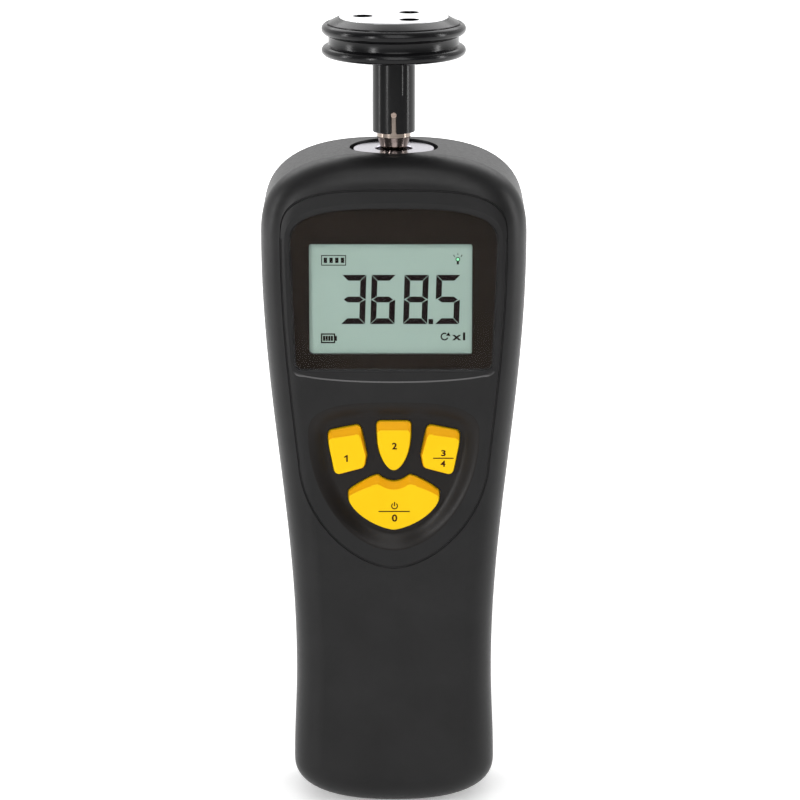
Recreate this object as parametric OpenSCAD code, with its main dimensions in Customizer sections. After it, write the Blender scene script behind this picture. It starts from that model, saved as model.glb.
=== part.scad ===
// Hand-held contact tachometer with a rubber-tyred speed wheel on its spindle.
// Millimetres. +Z runs along the instrument to the wheel, the display faces -Y,
// and the spindle turns about the Z axis, which starts at the foot's lowest point.

/* [Housing] */
// Height of the housing, foot to head
body_h = 185.4; // [182:0.2:196]
// Width across the head, beside the display
head_w = 72.5; // [71:0.5:80]
// Distance of the head's widest place below its top
head_drop = 23.4; // [20:0.2:26]
// Width of the waist, where the hand holds it
waist_w = 54.5; // [53.5:0.5:62]
// Height of the waist
waist_z = 40; // [32:1:50]
// Width of the foot
foot_w = 56; // [55:0.5:62]
// Height at which the foot starts to turn in
foot_z = 13; // [12:0.5:18]
// Reach of the housing ahead of the spindle axis
front_d = 19; // [19:0.1:20]
// Reach of the housing behind the spindle axis
back_d = 19; // [19:0.1:21]
// Place of the parting line behind the spindle axis
parting_y = 14; // [13.8:0.1:14.4]
// Radius of the long edge round the front
front_r = 8.5; // [6:0.5:9]
// Thickness of the moulded walls
wall = 2.4; // [2.2:0.1:2.6]

/* [Display] */
// Width of the head left bare on each side of the lens, at its top
lens_margin = 7.95; // [7.4:0.05:9]
// How much narrower than its top the lens is at its foot, on each side
lens_taper = 1.2; // [0:0.1:2]
// Height of the lens
lens_h = 44.8; // [42:0.2:46]
// Distance of the lens's upper edge below the top of the head
lens_drop = 14.2; // [13.8:0.2:16]
// Thickness of the lens
lens_t = 1.5; // [1.2:0.1:1.6]
// Width of the printed border beside the window
window_border = 5.3; // [4.9:0.1:7]
// Height of the window in front of the display glass
window_h = 32.4; // [28:0.2:33]
// Thickness of the display glass
glass_t = 2.8; // [2.2:0.1:2.9]

/* [Keys] */
// Depth of the bowl that the keys stand in
bowl_depth = 2; // [1.4:0.1:2.2]
// How far a key moves when it is pressed
key_travel = 1; // [0.6:0.1:1]
// Free gap round each key
key_gap = 0.25; // [0.15:0.05:0.4]
// How far the keys stand out of the front face
key_proud = 0.7; // [0.3:0.1:1.2]

/* [Spindle] */
// Diameter of the spindle nose that carries an adaptor
nose_d = 9.3; // [8.8:0.1:9.6]
// Diameter of the spindle in its bearings
shaft_d = 7; // [6.6:0.1:7.2]
// Outer diameter of the ball bearings
bearing_d = 14; // [13.6:0.2:15]
// Width of a ball bearing
bearing_w = 5; // [4:0.1:5.2]
// Balls in each bearing
ball_count = 9; // [7:1:9]
// Diameter of the collar plate round the spindle
collar_d = 22.1; // [21.8:0.1:22.6]
// Slots round the encoder disc
slot_count = 30; // [20:2:32]

/* [Wheel] */
// Diameter over the lips of the tyre
wheel_d = 39.4; // [39:0.1:42]
// Height of the rim
rim_h = 11.8; // [11:0.2:13]
// Outer diameter of the hub
hub_d = 11.7; // [11.4:0.1:13]
// Length of the hub below the rim
hub_len = 19.8; // [18:0.2:22]
// Diameter of the metal face
face_d = 29.8; // [28:0.2:30]
// Diameter of the holes through the face
face_hole_d = 5.4; // [4:0.2:5.8]
// Diameter of the circle on which those holes lie
face_pcd = 16.8; // [16.2:0.2:19]

/* [Battery] */
// Diameter of a cell
cell_d = 10.5; // [10.2:0.1:10.6]
// Length of a cell, its button included
cell_len = 44.5; // [42:0.1:45]
// Distance between neighbouring cells
cell_pitch = 10.8; // [10.7:0.05:10.9]
// Number of cells
cell_count = 4; // [2:2:4]

/* [Hidden] */
$fn = 64;

// Overrun of every cut past the face that it opens
cut = 1;
// Gap between pieces of one assembly that seat in each other
seat_gap = 0.1;
// Radial clearance of a running or sliding fit
fit_gap = 0.05;
// Radial clearance of a pressed seat, kept so that solids don't overlap
press_gap = 0.02;

// Housing, derived
head_z = body_h - head_drop;
front_y = -front_d;
back_y = back_d;
back_r = back_d - parting_y;
front_in_y = front_y + wall;
back_in_y = back_y - wall;
lip_h = 1.5;
lip_d = wall / 2;
foot_share = 2.4;
head_share = 2.75;
foot_steps = 6;
side_steps = 9;
head_steps = 8;
arc_steps = 5;

// Superellipse quarter: the point at angle a, for half-axes w and h
function quarter(w, h, share, a) = [w * pow(cos(a), 2 / share), h * pow(sin(a), 2 / share)];

// Half-width of the housing at height z, between foot and head
function body_half(z) = z < waist_z
    ? ease(z, foot_z, waist_z, foot_w / 2, waist_w / 2)
    : ease(z, waist_z, head_z, waist_w / 2, head_w / 2);
function ease(z, z0, z1, a, b) = a + (b - a) * (1 - cos(180 * (z - z0) / (z1 - z0))) / 2;

// Right half of the front outline, foot to head, drawn in by d
function right_half(d) = concat(
    [for (i = [0 : foot_steps]) let(q = quarter(foot_w / 2 - d, foot_z - d, foot_share,
        90 - 90 * i / foot_steps))
        [q.x, foot_z - q.y]],
    [for (i = [1 : side_steps - 1]) let(z = foot_z + (head_z - foot_z) * i / side_steps) [body_half(z) - d,
        z]],
    [for (i = [0 : head_steps]) let(q = quarter(head_w / 2 - d, body_h - head_z - d, head_share,
        90 * i / head_steps))
        [q.x, head_z + q.y]]);
function mirrored(half) = [for (i = [len(half) - 2 : -1 : 1]) [-half[i].x, half[i].y]];
function outline(d) = let(h = right_half(d)) concat(h, mirrored(h));

// Rings [y, inward offset] of a long edge rounded with radius r, and a loft through them
function edge_rings(y, r, d, turn) = [for (i = [0 : arc_steps]) let(a = 90 * i / arc_steps)
    [y + turn * r * (1 - sin(a)), d + r * (1 - cos(a))]];
module loft(rings) {
    n = len(outline(0));
    points = [for (ring = rings) for (p = outline(ring[1])) [p.x, ring[0], p.y]];
    walls = [for (k = [0 : len(rings) - 2]) for (i = [0 : n - 1]) let(j = (i + 1) % n, a = k * n, b = a + n)
        each [[a + i, a + j, b + j], [a + i, b + j, b + i]]];
    front = [for (i = [n - 1 : -1 : 0]) i];
    back = [for (i = [0 : n - 1]) (len(rings) - 1) * n + i];
    polyhedron(points = points, faces = concat([front], walls, [back]), convexity = 4);
}
function reversed(list) = [for (i = [len(list) - 1 : -1 : 0]) list[i]];

// A slab of the shape below it, from depth y0 to depth y1
module slab(y0, y1) {
    translate([0, y1, 0]) rotate([90, 0, 0]) linear_extrude(y1 - y0) children();
}
// A rod along Y from depth y0 to depth y1 at [x, z]
module rod_y(p, d, y0, y1) {
    translate([p.x, y1, p.y]) rotate([90, 0, 0]) cylinder(d = d, h = y1 - y0);
}
// A block between two corners
module block(a, b) {
    translate(a) cube(b - a);
}
// Polygon corners rounded with radius r; a corner that hardly turns keeps its one point
function unit(v) = v / norm(v);
function rounded(points, r, steps = 4) = let(n = len(points)) [for (i = [0 : n - 1])
    let(b = points[i], u = unit(points[(i + n - 1) % n] - b), v = unit(points[(i + 1) % n] - b),
        half = acos(u * v) / 2)
    each half > soft_turn ? [b] : let(c = b + unit(u + v) * r / sin(half),
        s = unit(b + u * r / tan(half) - c), e = unit(b + v * r / tan(half) - c))
        [for (k = [0 : steps]) c + r * unit(s * (1 - k / steps) + e * k / steps)]];
soft_turn = 78;

// Which way a polygon runs: 1 against the clock, -1 with it; and the polygon grown by d
function run_of(points) = let(n = len(points)) sign([for (i = [0 : n - 1]) let(p = points[i],
    q = points[(i + 1) % n])
    p.x * q.y - q.x * p.y] * [for (i = [0 : n - 1]) 1]);
function grown(points, d) = let(n = len(points), run = run_of(points)) [for (i = [0 : n - 1])
    let(u = unit(points[i] - points[(i + n - 1) % n]), v = unit(points[(i + 1) % n] - points[i]),
        m = unit(u + v))
    points[i] + run * d * [m.y, -m.x] / (m * u)];
function rect_points(w, z0, z1) = [[-w / 2, z0], [w / 2, z0], [w / 2, z1], [-w / 2, z1]];

// Battery tray, contacts and cover
tray_wall = 1.4;
tray_z = 16;
contact_t = 0.4;
spring_len = 4.2;
cell_slack = 0.2;
cell_y = back_in_y - cell_d / 2 - cell_slack;
tray_half = (cell_count - 1) * cell_pitch / 2 + cell_d / 2 + cell_slack;
tray_in_z = tray_z + tray_wall;
tray_top_z = tray_in_z + cell_len + spring_len + 2 * (contact_t + seat_gap);
tray_y = cell_y - cell_d / 2 - cell_slack;
button_d = 3.6;
button_h = 1;
cell_edge = 0.6;
contact_w = 8.6;
contact_h = 8;
solder_tab_w = 2.4;
solder_tab_t = 0.4;
solder_tab_rise = 2.6;
lead_d = 1.2;
lead_drop = 1;
spring_wire = 0.5;
spring_r0 = 3.4;
spring_r1 = 2.2;
spring_turns = 3;
spring_rings = 8;
spring_sides = 6;
cover_lap = 1.1;
cover_half = tray_half + cover_lap;
cover_z0 = 12.8;
cover_top_lap = 1.8;
cover_z1 = tray_top_z + tray_wall + cover_top_lap;
cover_gap = 0.2;
cover_r = 2.5;
tab_w = 6;
tab_x = 13;
tab_t = 1.2;
tab_reach = 2.4;
tab_lap = 1;
tab_gap = 0.15;
grip_w = 16;
grip_t = 1;
grip_pitch = 2.2;
grip_count = 4;
grip_depth = 0.5;
grip_drop = 6;

// Screws that hold the case, from the rear
case_screw_d = 2.6;
case_head_d = 4.8;
case_head_h = 1.8;
case_boss_d = 6.2;
case_rear_boss_d = 7.6;
case_recess_d = 5.6;
case_recess_depth = 3.4;
case_screw_len = 12;
upper_boss_inset = 7.75;
upper_boss_drop = 33.4;
lower_boss_inset = 6.05;
lower_boss_rise = 15.5;
upper_boss_x = head_w / 2 - upper_boss_inset;
upper_boss_z = body_h - upper_boss_drop;
lower_boss_x = waist_w / 2 - lower_boss_inset;
lower_boss_z = tray_top_z + tray_wall + lower_boss_rise;
case_places = [[-upper_boss_x, upper_boss_z], [upper_boss_x, upper_boss_z],
    [-lower_boss_x, lower_boss_z], [lower_boss_x, lower_boss_z]];
drive_share = 0.5;
drive_w_share = 0.16;
case_head_y = back_y - case_recess_depth;

// Display
lens_w = head_w - 2 * lens_margin;
lens_foot_w = lens_w - 2 * lens_taper;
lens_z = body_h - lens_drop - lens_h;
lens_corner_r = 2.2;
lens_crown = 10.2;
lens_share = 3;
lens_gap = 0.12;
lens_proud = 0.1;
lens_steps = 7;
window_rise = 4.4;
window_w = lens_w - 2 * window_border;
window_z = lens_z + window_rise;
window_r = 1.2;
glass_edge = 1;
glass_w = window_w + 2 * glass_edge;
glass_y = front_in_y + seat_gap;
frame_edge = 1.1;
frame_w = glass_w + 2 * (frame_edge + seat_gap);
frame_z0 = window_z - glass_edge - seat_gap - frame_edge;
frame_z1 = window_z + window_h + glass_edge + seat_gap + frame_edge;
zebra_h = 1.6;
zebra_w = 2;
board_y = glass_y + glass_t + zebra_h;
board_t = 1.6;
board_back_y = board_y + board_t;
frame_view_edge = 1.6;
smile_drop = 3;
smile_depth = 0.3;
smile_steps = 12;

function lens_half(d) = let(top = lens_z + lens_h, side = top - lens_crown, r = lens_corner_r - d) concat(
    [[0, lens_z + d]],
    [for (i = [0 : 3]) let(a = 90 * i / 3)
        [lens_foot_w / 2 - lens_corner_r + r * sin(a), lens_z + lens_corner_r - r * cos(a)]],
    [for (i = [0 : lens_steps]) let(q = quarter(lens_w / 2 - d, lens_crown - d, lens_share,
        90 * i / lens_steps))
        [q.x, side + q.y]]);
function lens_outline(d) = let(h = lens_half(d)) concat(h, mirrored(h));

// Bowl of the keypad
bowl_w = 47;
bowl_h = 42.1;
bowl_drop = 8.9;
bowl_wide_drop = 9.5;
bowl_top_z = lens_z - bowl_drop;
bowl_wide_z = bowl_top_z - bowl_wide_drop;
bowl_foot_z = bowl_top_z - bowl_h;
bowl_top_share = 3;
bowl_foot_share = 1.9;
bowl_slope = 2.4;
bowl_steps = 8;
bowl_y = front_y + bowl_depth;
bowl_wall_share = 0.75;
bowl_back_y = bowl_y + wall * bowl_wall_share;
function bowl_half(d) = concat(
    [for (i = [0 : bowl_steps]) let(q = quarter(bowl_w / 2 - d, bowl_wide_z - bowl_foot_z - d,
        bowl_foot_share, 90 - 90 * i / bowl_steps)) [q.x, bowl_wide_z - q.y]],
    [for (i = [1 : bowl_steps]) let(q = quarter(bowl_w / 2 - d, bowl_top_z - bowl_wide_z - d,
        bowl_top_share, 90 * i / bowl_steps)) [q.x, bowl_wide_z + q.y]]);
function bowl_outline(d) = let(h = bowl_half(d)) concat(h, mirrored(h));

// Moulded line round the front panel
panel_side = 5.4;
panel_top = 8.8;
panel_foot_drop = 5.2;
panel_turn_rise = 24.6;
panel_foot_z = bowl_foot_z - panel_foot_drop;
panel_turn_z = bowl_foot_z + panel_turn_rise;
panel_top_share = 3.4;
panel_foot_share = 1.75;
groove_w = 0.4;
groove_depth = 0.35;
function panel_half(d) = concat(
    [for (i = [0 : 8]) let(q = quarter(body_half(panel_turn_z) - panel_side - d,
        panel_turn_z - panel_foot_z - d,
        panel_foot_share, 90 - 90 * i / 8)) [q.x, panel_turn_z - q.y]],
    [for (i = [1 : 4]) let(z = panel_turn_z + (head_z - panel_turn_z) * i / 5) [body_half(z)
        - panel_side - d, z]],
    [for (i = [0 : 8]) let(q = quarter(head_w / 2 - panel_side - d, body_h - panel_top - head_z - d,
        panel_top_share, 90 * i / 8)) [q.x, head_z + q.y]]);
function panel_outline(d) = let(h = panel_half(d)) concat(h, mirrored(h));

// Keys: corners of the side keys as shares of the bowl's width and of its height, from its top;
// heights of the others are given as drops from the bowl's top
side_key_shares = [[0.1957, 0.1544], [0.3851, 0.1971], [0.3809, 0.2874], [0.3447, 0.4917], [0.1702, 0.4394],
    [0.1574, 0.3587]];
side_key = [for (share = side_key_shares) [bowl_w * share.x, bowl_top_z - bowl_h * share.y]];
key_corner_r = 0.9;
middle_key_w = 9.2;
middle_key_top_drop = 5.6;
middle_key_side_drop = 10.1;
middle_key_tip_drop = 19;
middle_key_top = bowl_top_z - middle_key_top_drop;
middle_key_side = bowl_top_z - middle_key_side_drop;
middle_key_tip = bowl_top_z - middle_key_tip_drop;
middle_key_steps = 6;
middle_key_share = 1.75;
power_key_w = 25;
power_key_peak_x = 4.3;
power_key_peak_drop = 20.7;
power_key_dip_drop = 22.7;
power_key_side_drop = 26.1;
power_key_low_drop = 27.9;
power_key_foot_drop = 36.1;
power_key_peak_z = bowl_top_z - power_key_peak_drop;
power_key_dip_z = bowl_top_z - power_key_dip_drop;
power_key_side_z = bowl_top_z - power_key_side_drop;
power_key_low_z = bowl_top_z - power_key_low_drop;
power_key_foot_z = bowl_top_z - power_key_foot_drop;
power_key_steps = 6;
key_flange = 0.8;
key_flange_t = 0.8;
key_slope = 2.2;
key_edge = 0.35;
key_rise = 1.6;
key_stem_d = 5;
key_face_y = front_y - key_proud;
key_flange_y = bowl_back_y + seat_gap;
key_stem_y = board_y - key_travel - seat_gap;
middle_half = concat([[middle_key_w / 2, middle_key_top]],
    [for (i = [0 : middle_key_steps - 1]) let(q = quarter(middle_key_w / 2, middle_key_side - middle_key_tip,
        middle_key_share, 90 * i / middle_key_steps)) [q.x, middle_key_side - q.y]]);
middle_key = concat(middle_half, [[0, middle_key_tip]],
    [for (i = [len(middle_half) - 1 : -1 : 0]) [-middle_half[i].x, middle_half[i].y]]);
power_half = concat([[0, power_key_dip_z], [power_key_peak_x, power_key_peak_z],
        [power_key_w / 2, power_key_side_z], [power_key_w / 2, power_key_low_z]],
    [for (i = [1 : power_key_steps - 1]) let(a = 90 * i / power_key_steps)
        [power_key_w / 2 * cos(a), power_key_low_z - (power_key_low_z - power_key_foot_z) * sin(a)]]);
power_key = concat(power_half, [[0, power_key_foot_z]],
    [for (i = [len(power_half) - 1 : -1 : 1]) [-power_half[i].x, power_half[i].y]]);
function centre_of(points) = [for (axis = [0, 1]) let(v = [for (p = points) p[axis]]) (min(v) + max(v)) / 2];
function top_of(points) = max([for (p = points) p.y]);
function flipped(points) = [for (i = [len(points) - 1 : -1 : 0]) [-points[i].x, points[i].y]];

// Board and its screws
board_w = frame_w;
board_low_w = 35.6;
board_step_drop = 5.4;
board_foot_drop = 8.9;
board_step_z = lens_z - board_step_drop;
board_foot_z = bowl_foot_z - board_foot_drop;
board_top_z = frame_z1 + seat_gap;
board_screw_d = 2;
board_head_d = 3.8;
board_head_h = 1.3;
board_post_d = 4.6;
board_screw_len = 4.4;
board_upper_inset = 3.6;
board_upper_drop = 2.4;
board_lower_inset = 4.3;
board_lower_rise = 6.8;
board_upper_x = board_w / 2 - board_upper_inset;
board_upper_z = lens_z - board_upper_drop;
board_lower_x = board_low_w / 2 - board_lower_inset;
board_lower_z = board_foot_z + board_lower_rise;
board_places = [[-board_upper_x, board_upper_z], [board_upper_x, board_upper_z],
    [-board_lower_x, board_lower_z], [board_lower_x, board_lower_z]];
mat_t = 0.6;
mat_w = 34.6;
mat_foot_rise = 1.1;
mat_top_drop = 1.5;
mat_z0 = bowl_foot_z + mat_foot_rise;
mat_z1 = bowl_top_z - mat_top_drop;
mat_collar_d = 9;
mat_hole_d = 6.6;
key_places = [centre_of(flipped(side_key)), centre_of(middle_key), centre_of(side_key), centre_of(power_key)];

// Collar plate, bearings and block
collar_t = 1.4;
collar_hole_d = 10.2;
collar_recess_d = 24.3;
collar_sink = 0.7;
collar_z = body_h - collar_sink;
ledge_z = collar_z - collar_t;
ring_d = 28.4;
ring_h = 3.2;
ring_bore_d = 20;
ring_top_sink = 1.4;
block_d = ring_bore_d - 2 * seat_gap;
block_top_z = ledge_z - seat_gap;
bearing_top_z = block_top_z - seat_gap;
bearing_space = 4.4;
upper_bearing_z = bearing_top_z - bearing_w;
lower_bearing_z = upper_bearing_z - bearing_space - bearing_w;
block_skirt = 1.6;
block_z = lower_bearing_z - block_skirt;
block_web_d = 11.6;
ball_d = 2.2;
ball_pitch_d = (shaft_d + bearing_d) / 2;
race_opening = 1.3;
race_d_in = ball_pitch_d - race_opening;
race_d_out = ball_pitch_d + race_opening;
cage_t = 0.6;
cage_h = 3.6;
cage_ring_h = 0.6;
cage_post_d = 0.44;
ear_w = 43;
ear_t = 4;
ear_y = -4;
ear_h = 12;
ear_z = ledge_z - ring_h - seat_gap - ear_h;
block_screw_x = 17.5;
block_screw_z = ear_z + ear_h / 2;
block_screw_d = 2.2;
block_head_d = 4.2;
block_head_h = 1.5;
block_screw_len = 10;
block_boss_d = 6.2;
bracket_w = 26;
bracket_y0 = 10.4;
bracket_y1 = 12.4;
bracket_drop = 18;
bracket_z0 = ear_z - bracket_drop;
bracket_z1 = ear_z + ear_h;
bracket_window_w = 14.4;
bracket_window_h = 11;
bracket_window_rise = 5;
bracket_window_z0 = bracket_z0 + bracket_window_rise;
bracket_window_z1 = bracket_window_z0 + bracket_window_h;
bracket_neck = 1.4;

// Spindle
nose_len = 15;
nose_rise = 3.7;
nose_foot_z = collar_z + nose_rise;
nose_top_z = nose_foot_z + nose_len;
nose_chamfer = 0.6;
neck_d = 7.4;
neck_rise_share = 0.4;
neck_z = collar_z + neck_rise_share * collar_t;
disc_z = bracket_window_z0 + bracket_window_h / 2;
shaft_tail = 3.1;
shaft_foot_z = disc_z - shaft_tail;
shaft_r = shaft_d / 2 - press_gap;
pin_d = 1.5;
pin_rise = 6.2;
pin_z = nose_foot_z + pin_rise;
pin_len = 10.8;
clip_t = 0.6;
clip_d = 10.4;
clip_z = lower_bearing_z - clip_t - seat_gap;
clip_groove_d = 5.8;
sleeve_d = 9;
disc_d = 19;
disc_t = 0.4;
slot_len = 2.4;
slot_share = 0.5;
slot_rim = 0.8;
disc_hub_d = 8;
disc_flange_d = 10.8;
disc_flange_t = 0.9;
disc_hub_rise = 4.7;
disc_hub_top_z = disc_z + disc_hub_rise;
set_screw_d = 1.6;
set_screw_rise = 2.5;
set_screw_z = disc_z + set_screw_rise;

// Sensor on its own small board
sensor_board_w = 24;
sensor_board_t = 1.2;
sensor_board_h = 18;
sensor_board_rise = 1;
sensor_board_z0 = bracket_z0 + sensor_board_rise;
sensor_board_z1 = sensor_board_z0 + sensor_board_h;
interrupter_w = 13.6;
interrupter_h = 9.4;
interrupter_slot = 2.8;
interrupter_y = 6.2;
interrupter_web = 3;
sensor_screw_x = 9.6;
sensor_screw_rise = 3;
sensor_screw_z = bracket_z0 + sensor_screw_rise;
sensor_screw_d = 1.6;
sensor_head_d = 3.2;
sensor_head_h = 1.1;
ribbon_w = 7;
ribbon_t = 0.5;
ribbon_drop = 11;
ribbon_z = sensor_board_z0 - ribbon_drop;
ribbon_bend = 3;
ribbon_lap = 2.5;
ribbon_steps = 6;

// Wheel
hub_gap = 1;
hub_z = nose_foot_z + hub_gap;
rim_z = hub_z + hub_len;
rim_top_z = rim_z + rim_h;
hub_bore_d = nose_d + 2 * fit_gap;
bore_end_gap = 1;
hub_bore_top_z = nose_top_z + bore_end_gap;
slit_w = pin_d + 2 * fit_gap;
lip_r = 2.3;
lip_spread = 5.9;
lip_mid_share = 0.47;
lip_mid_z = rim_z + rim_h * lip_mid_share;
tread_sink = 1.5;
tread_d = wheel_d - 2 * tread_sink;
tyre_in_d = face_d + 2 * seat_gap;
face_t = 1.5;
web_cone = 3;
web_edge_h = 1;
web_drop = 0.6;
web_foot_z = rim_z - web_drop;
tyre_edge = 0.5;

// Skins of the two shells
module front_skin() {
    difference() {
        loft(concat(reversed(edge_rings(front_y, front_r, 0, 1)), [[parting_y, 0]]));
        loft(concat(reversed(edge_rings(front_in_y, front_r - wall, wall, 1)), [[parting_y + cut, wall]]));
        slab(parting_y - lip_h - seat_gap, parting_y + cut) polygon(outline(lip_d - seat_gap));
    }
}
module rear_skin() {
    difference() {
        union() {
            loft(concat([[parting_y, 0]], edge_rings(back_y, back_r, 0, -1)));
            slab(parting_y - lip_h, parting_y + lip_d) polygon(outline(lip_d));
        }
        loft(concat([[parting_y - lip_h - cut, wall]], edge_rings(back_in_y, back_r - wall, wall, -1)));
    }
}

module front_shell() color([0.17, 0.17, 0.175]) difference() {
    union() {
        front_skin();
        slab(front_in_y - wall / 2, bowl_back_y) polygon(bowl_outline(-wall / 2));
        for (p = case_places) rod_y(p, case_boss_d, front_in_y - wall / 2, parting_y - seat_gap);
        for (p = board_places) rod_y(p, board_post_d, front_in_y - wall / 2, board_y);
        for (x = [-block_screw_x, block_screw_x])
            rod_y([x, block_screw_z], block_boss_d, front_in_y - wall / 2, ear_y);
        intersection() {
            translate([0, 0, ledge_z - ring_h]) cylinder(d = ring_d, h = ring_h + ring_top_sink);
            block([-ring_d, front_in_y, 0], [ring_d, parting_y - lip_h - 2 * seat_gap, body_h]);
        }
    }
    slab(front_y - cut, front_y + lens_t) polygon(lens_outline(-lens_gap));
    slab(front_y - cut, front_in_y + cut) polygon(rounded(rect_points(window_w, window_z,
        window_z + window_h), window_r));
    bowl_cut();
    for (k = [rounded(flipped(side_key), key_corner_r), rounded(side_key, key_corner_r), rounded(middle_key,
        key_corner_r / 2),
        rounded(power_key, key_corner_r)])
        slab(front_y - cut, bowl_back_y + cut) polygon(grown(k, key_gap));
    slab(front_y - cut, front_y + groove_depth) difference() {
        polygon(panel_outline(0));
        polygon(panel_outline(groove_w));
    }
    smile_cut();
    for (p = case_places) rod_y(p, case_screw_d + 2 * press_gap, case_head_y - case_screw_len - seat_gap,
        parting_y + cut);
    for (p = board_places) rod_y(p, board_screw_d + 2 * press_gap,
        board_back_y - board_screw_len - seat_gap, board_y + cut);
    for (x = [-block_screw_x, block_screw_x])
        rod_y([x, block_screw_z], block_screw_d + 2 * press_gap, ear_y + ear_t - block_screw_len - seat_gap,
            ear_y + cut);
    translate([0, 0, ledge_z]) cylinder(d = collar_recess_d, h = body_h);
    translate([0, 0, ledge_z - ring_h - cut]) cylinder(d = ring_bore_d, h = body_h);
}

// Hollow of the keypad bowl, with sloping walls
module bowl_cut() {
    n = len(bowl_outline(0));
    slope = bowl_slope / bowl_depth;
    rings = [[front_y - cut, -cut * slope], [bowl_y, bowl_slope]];
    points = [for (ring = rings) for (p = bowl_outline(ring[1])) [p.x, ring[0], p.y]];
    walls = [for (i = [0 : n - 1]) let(j = (i + 1) % n) each [[i, j, n + j], [i, n + j, n + i]]];
    polyhedron(points = points, faces = concat([[for (i = [n - 1 : -1 : 0]) i]], walls,
        [[for (i = [0 : n - 1]) n + i]]));
}

// Shallow step below the lens
module smile_cut() {
    w = lens_foot_w / 2;
    slab(front_y - cut, front_y + smile_depth) polygon(concat([[w, lens_z + lens_corner_r], [-w,
        lens_z + lens_corner_r]],
        [for (i = [0 : smile_steps]) let(a = 180 * i / smile_steps) [-w * cos(a),
            lens_z - smile_drop * sin(a)]]));
}

module rear_shell() color([0.16, 0.16, 0.165]) difference() {
    union() {
        rear_skin();
        for (p = case_places) rod_y(p, case_rear_boss_d, parting_y, back_y - wall / 2);
        block([-tray_half - tray_wall, tray_y - tray_wall, tray_z], [tray_half + tray_wall, back_in_y,
            tray_top_z + tray_wall]);
    }
    block([-tray_half, tray_y, tray_in_z], [tray_half, back_y + cut, tray_top_z]);
    for (i = end_cells) solder_tab(i, seat_gap);
    slab(back_in_y, back_y + cut) polygon(rounded(rect_points(2 * (cover_half + cover_gap),
        cover_z0 - cover_gap,
        cover_z1 + cover_gap), cover_r));
    for (p = case_places) {
        rod_y(p, case_screw_d + 2 * seat_gap, parting_y - cut, back_y + cut);
        rod_y(p, case_recess_d, case_head_y, back_y + cut);
    }
}

module battery_cover() color([0.17, 0.17, 0.175]) {
    difference() {
        intersection() {
            loft(concat([[parting_y, 0]], edge_rings(back_y, back_r, 0, -1)));
            slab(back_in_y, back_y) polygon(rounded(rect_points(2 * cover_half, cover_z0, cover_z1),
                cover_r));
        }
        for (i = [0 : grip_count - 1]) let(z = cover_z1 - grip_drop - i * grip_pitch)
            block([-grip_w / 2, back_y - grip_depth, z], [grip_w / 2, back_y + cut, z + grip_t]);
    }
    for (x = [-tab_x, tab_x]) {
        block([x - tab_w / 2, back_in_y - tab_gap - tab_t, cover_z0 - tab_reach],
            [x + tab_w / 2, back_in_y - tab_gap, cover_z0 + tab_lap]);
        block([x - tab_w / 2, back_in_y - tab_gap - tab_t, cover_z0 + cover_gap],
            [x + tab_w / 2, back_in_y + tab_gap, cover_z0 + tab_lap]);
    }
}

module display_lens() color([0.12, 0.1, 0.09]) slab(front_y - lens_proud, front_y + lens_t - lens_proud)
    polygon(lens_outline(0));

module lcd_glass() color([0.6, 0.68, 0.64]) slab(glass_y, glass_y + glass_t)
    polygon(rect_points(glass_w, window_z - glass_edge, window_z + window_h + glass_edge));

module lcd_frame() color([0.85, 0.85, 0.83]) difference() {
    slab(glass_y, board_y) polygon(rect_points(frame_w, frame_z0, frame_z1));
    slab(glass_y - cut, glass_y + glass_t) polygon(rect_points(glass_w + 2 * seat_gap,
        window_z - glass_edge - seat_gap, window_z + window_h + glass_edge + seat_gap));
    slab(glass_y, board_y + cut) polygon(rect_points(window_w - 2 * frame_view_edge,
        window_z, window_z + window_h - frame_view_edge));
}

module zebra_strip() color([0.9, 0.45, 0.6]) slab(glass_y + glass_t, board_y)
    polygon(rect_points(window_w - 2 * frame_view_edge - 2 * seat_gap, window_z + seat_gap,
        window_z + seat_gap + zebra_w));

module main_board() color([0.1, 0.4, 0.2]) difference() {
    slab(board_y, board_back_y) polygon([[-board_low_w / 2, board_foot_z], [board_low_w / 2, board_foot_z],
        [board_low_w / 2, board_step_z], [board_w / 2, board_step_z], [board_w / 2, board_top_z],
        [-board_w / 2, board_top_z], [-board_w / 2, board_step_z], [-board_low_w / 2, board_step_z]]);
    for (p = board_places) rod_y(p, board_screw_d + 2 * seat_gap, board_y - cut, board_back_y + cut);
}

// Parts on the back of the board: place across and below the bowl's top, width, height, thickness
chip_sizes = [[0, 9.5, 14, 14, 1.6], [-11, 23.5, 5, 6.2, 1.5], [11, 23.5, 5, 6.2, 1.5], [0, 31.5, 11, 4.6,
    3.6],
    [14, -14.5, 8, 9, 2.4], [-14, -14.5, 6, 4, 2], [-12.6, 37.5, 3.2, 2.5, 1.2], [12.6, 37.5, 3.2, 2.5, 1.2]];
module board_chips() color([0.1, 0.1, 0.1]) {
    for (c = chip_sizes) let(z = bowl_top_z - c[1]) block([c[0] - c[2] / 2, board_back_y, z - c[3] / 2],
        [c[0] + c[2] / 2, board_back_y + c[4], z + c[3] / 2]);
}

module key_mat() color([0.25, 0.25, 0.26]) difference() {
    union() {
        slab(board_y - mat_t, board_y) polygon(rounded(rect_points(mat_w, mat_z0, mat_z1), key_corner_r));
        for (p = key_places) rod_y(p, mat_collar_d, key_flange_y + key_flange_t + key_travel + fit_gap,
            board_y);
    }
    for (p = key_places) rod_y(p, mat_hole_d, key_flange_y, board_y + cut);
}

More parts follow.
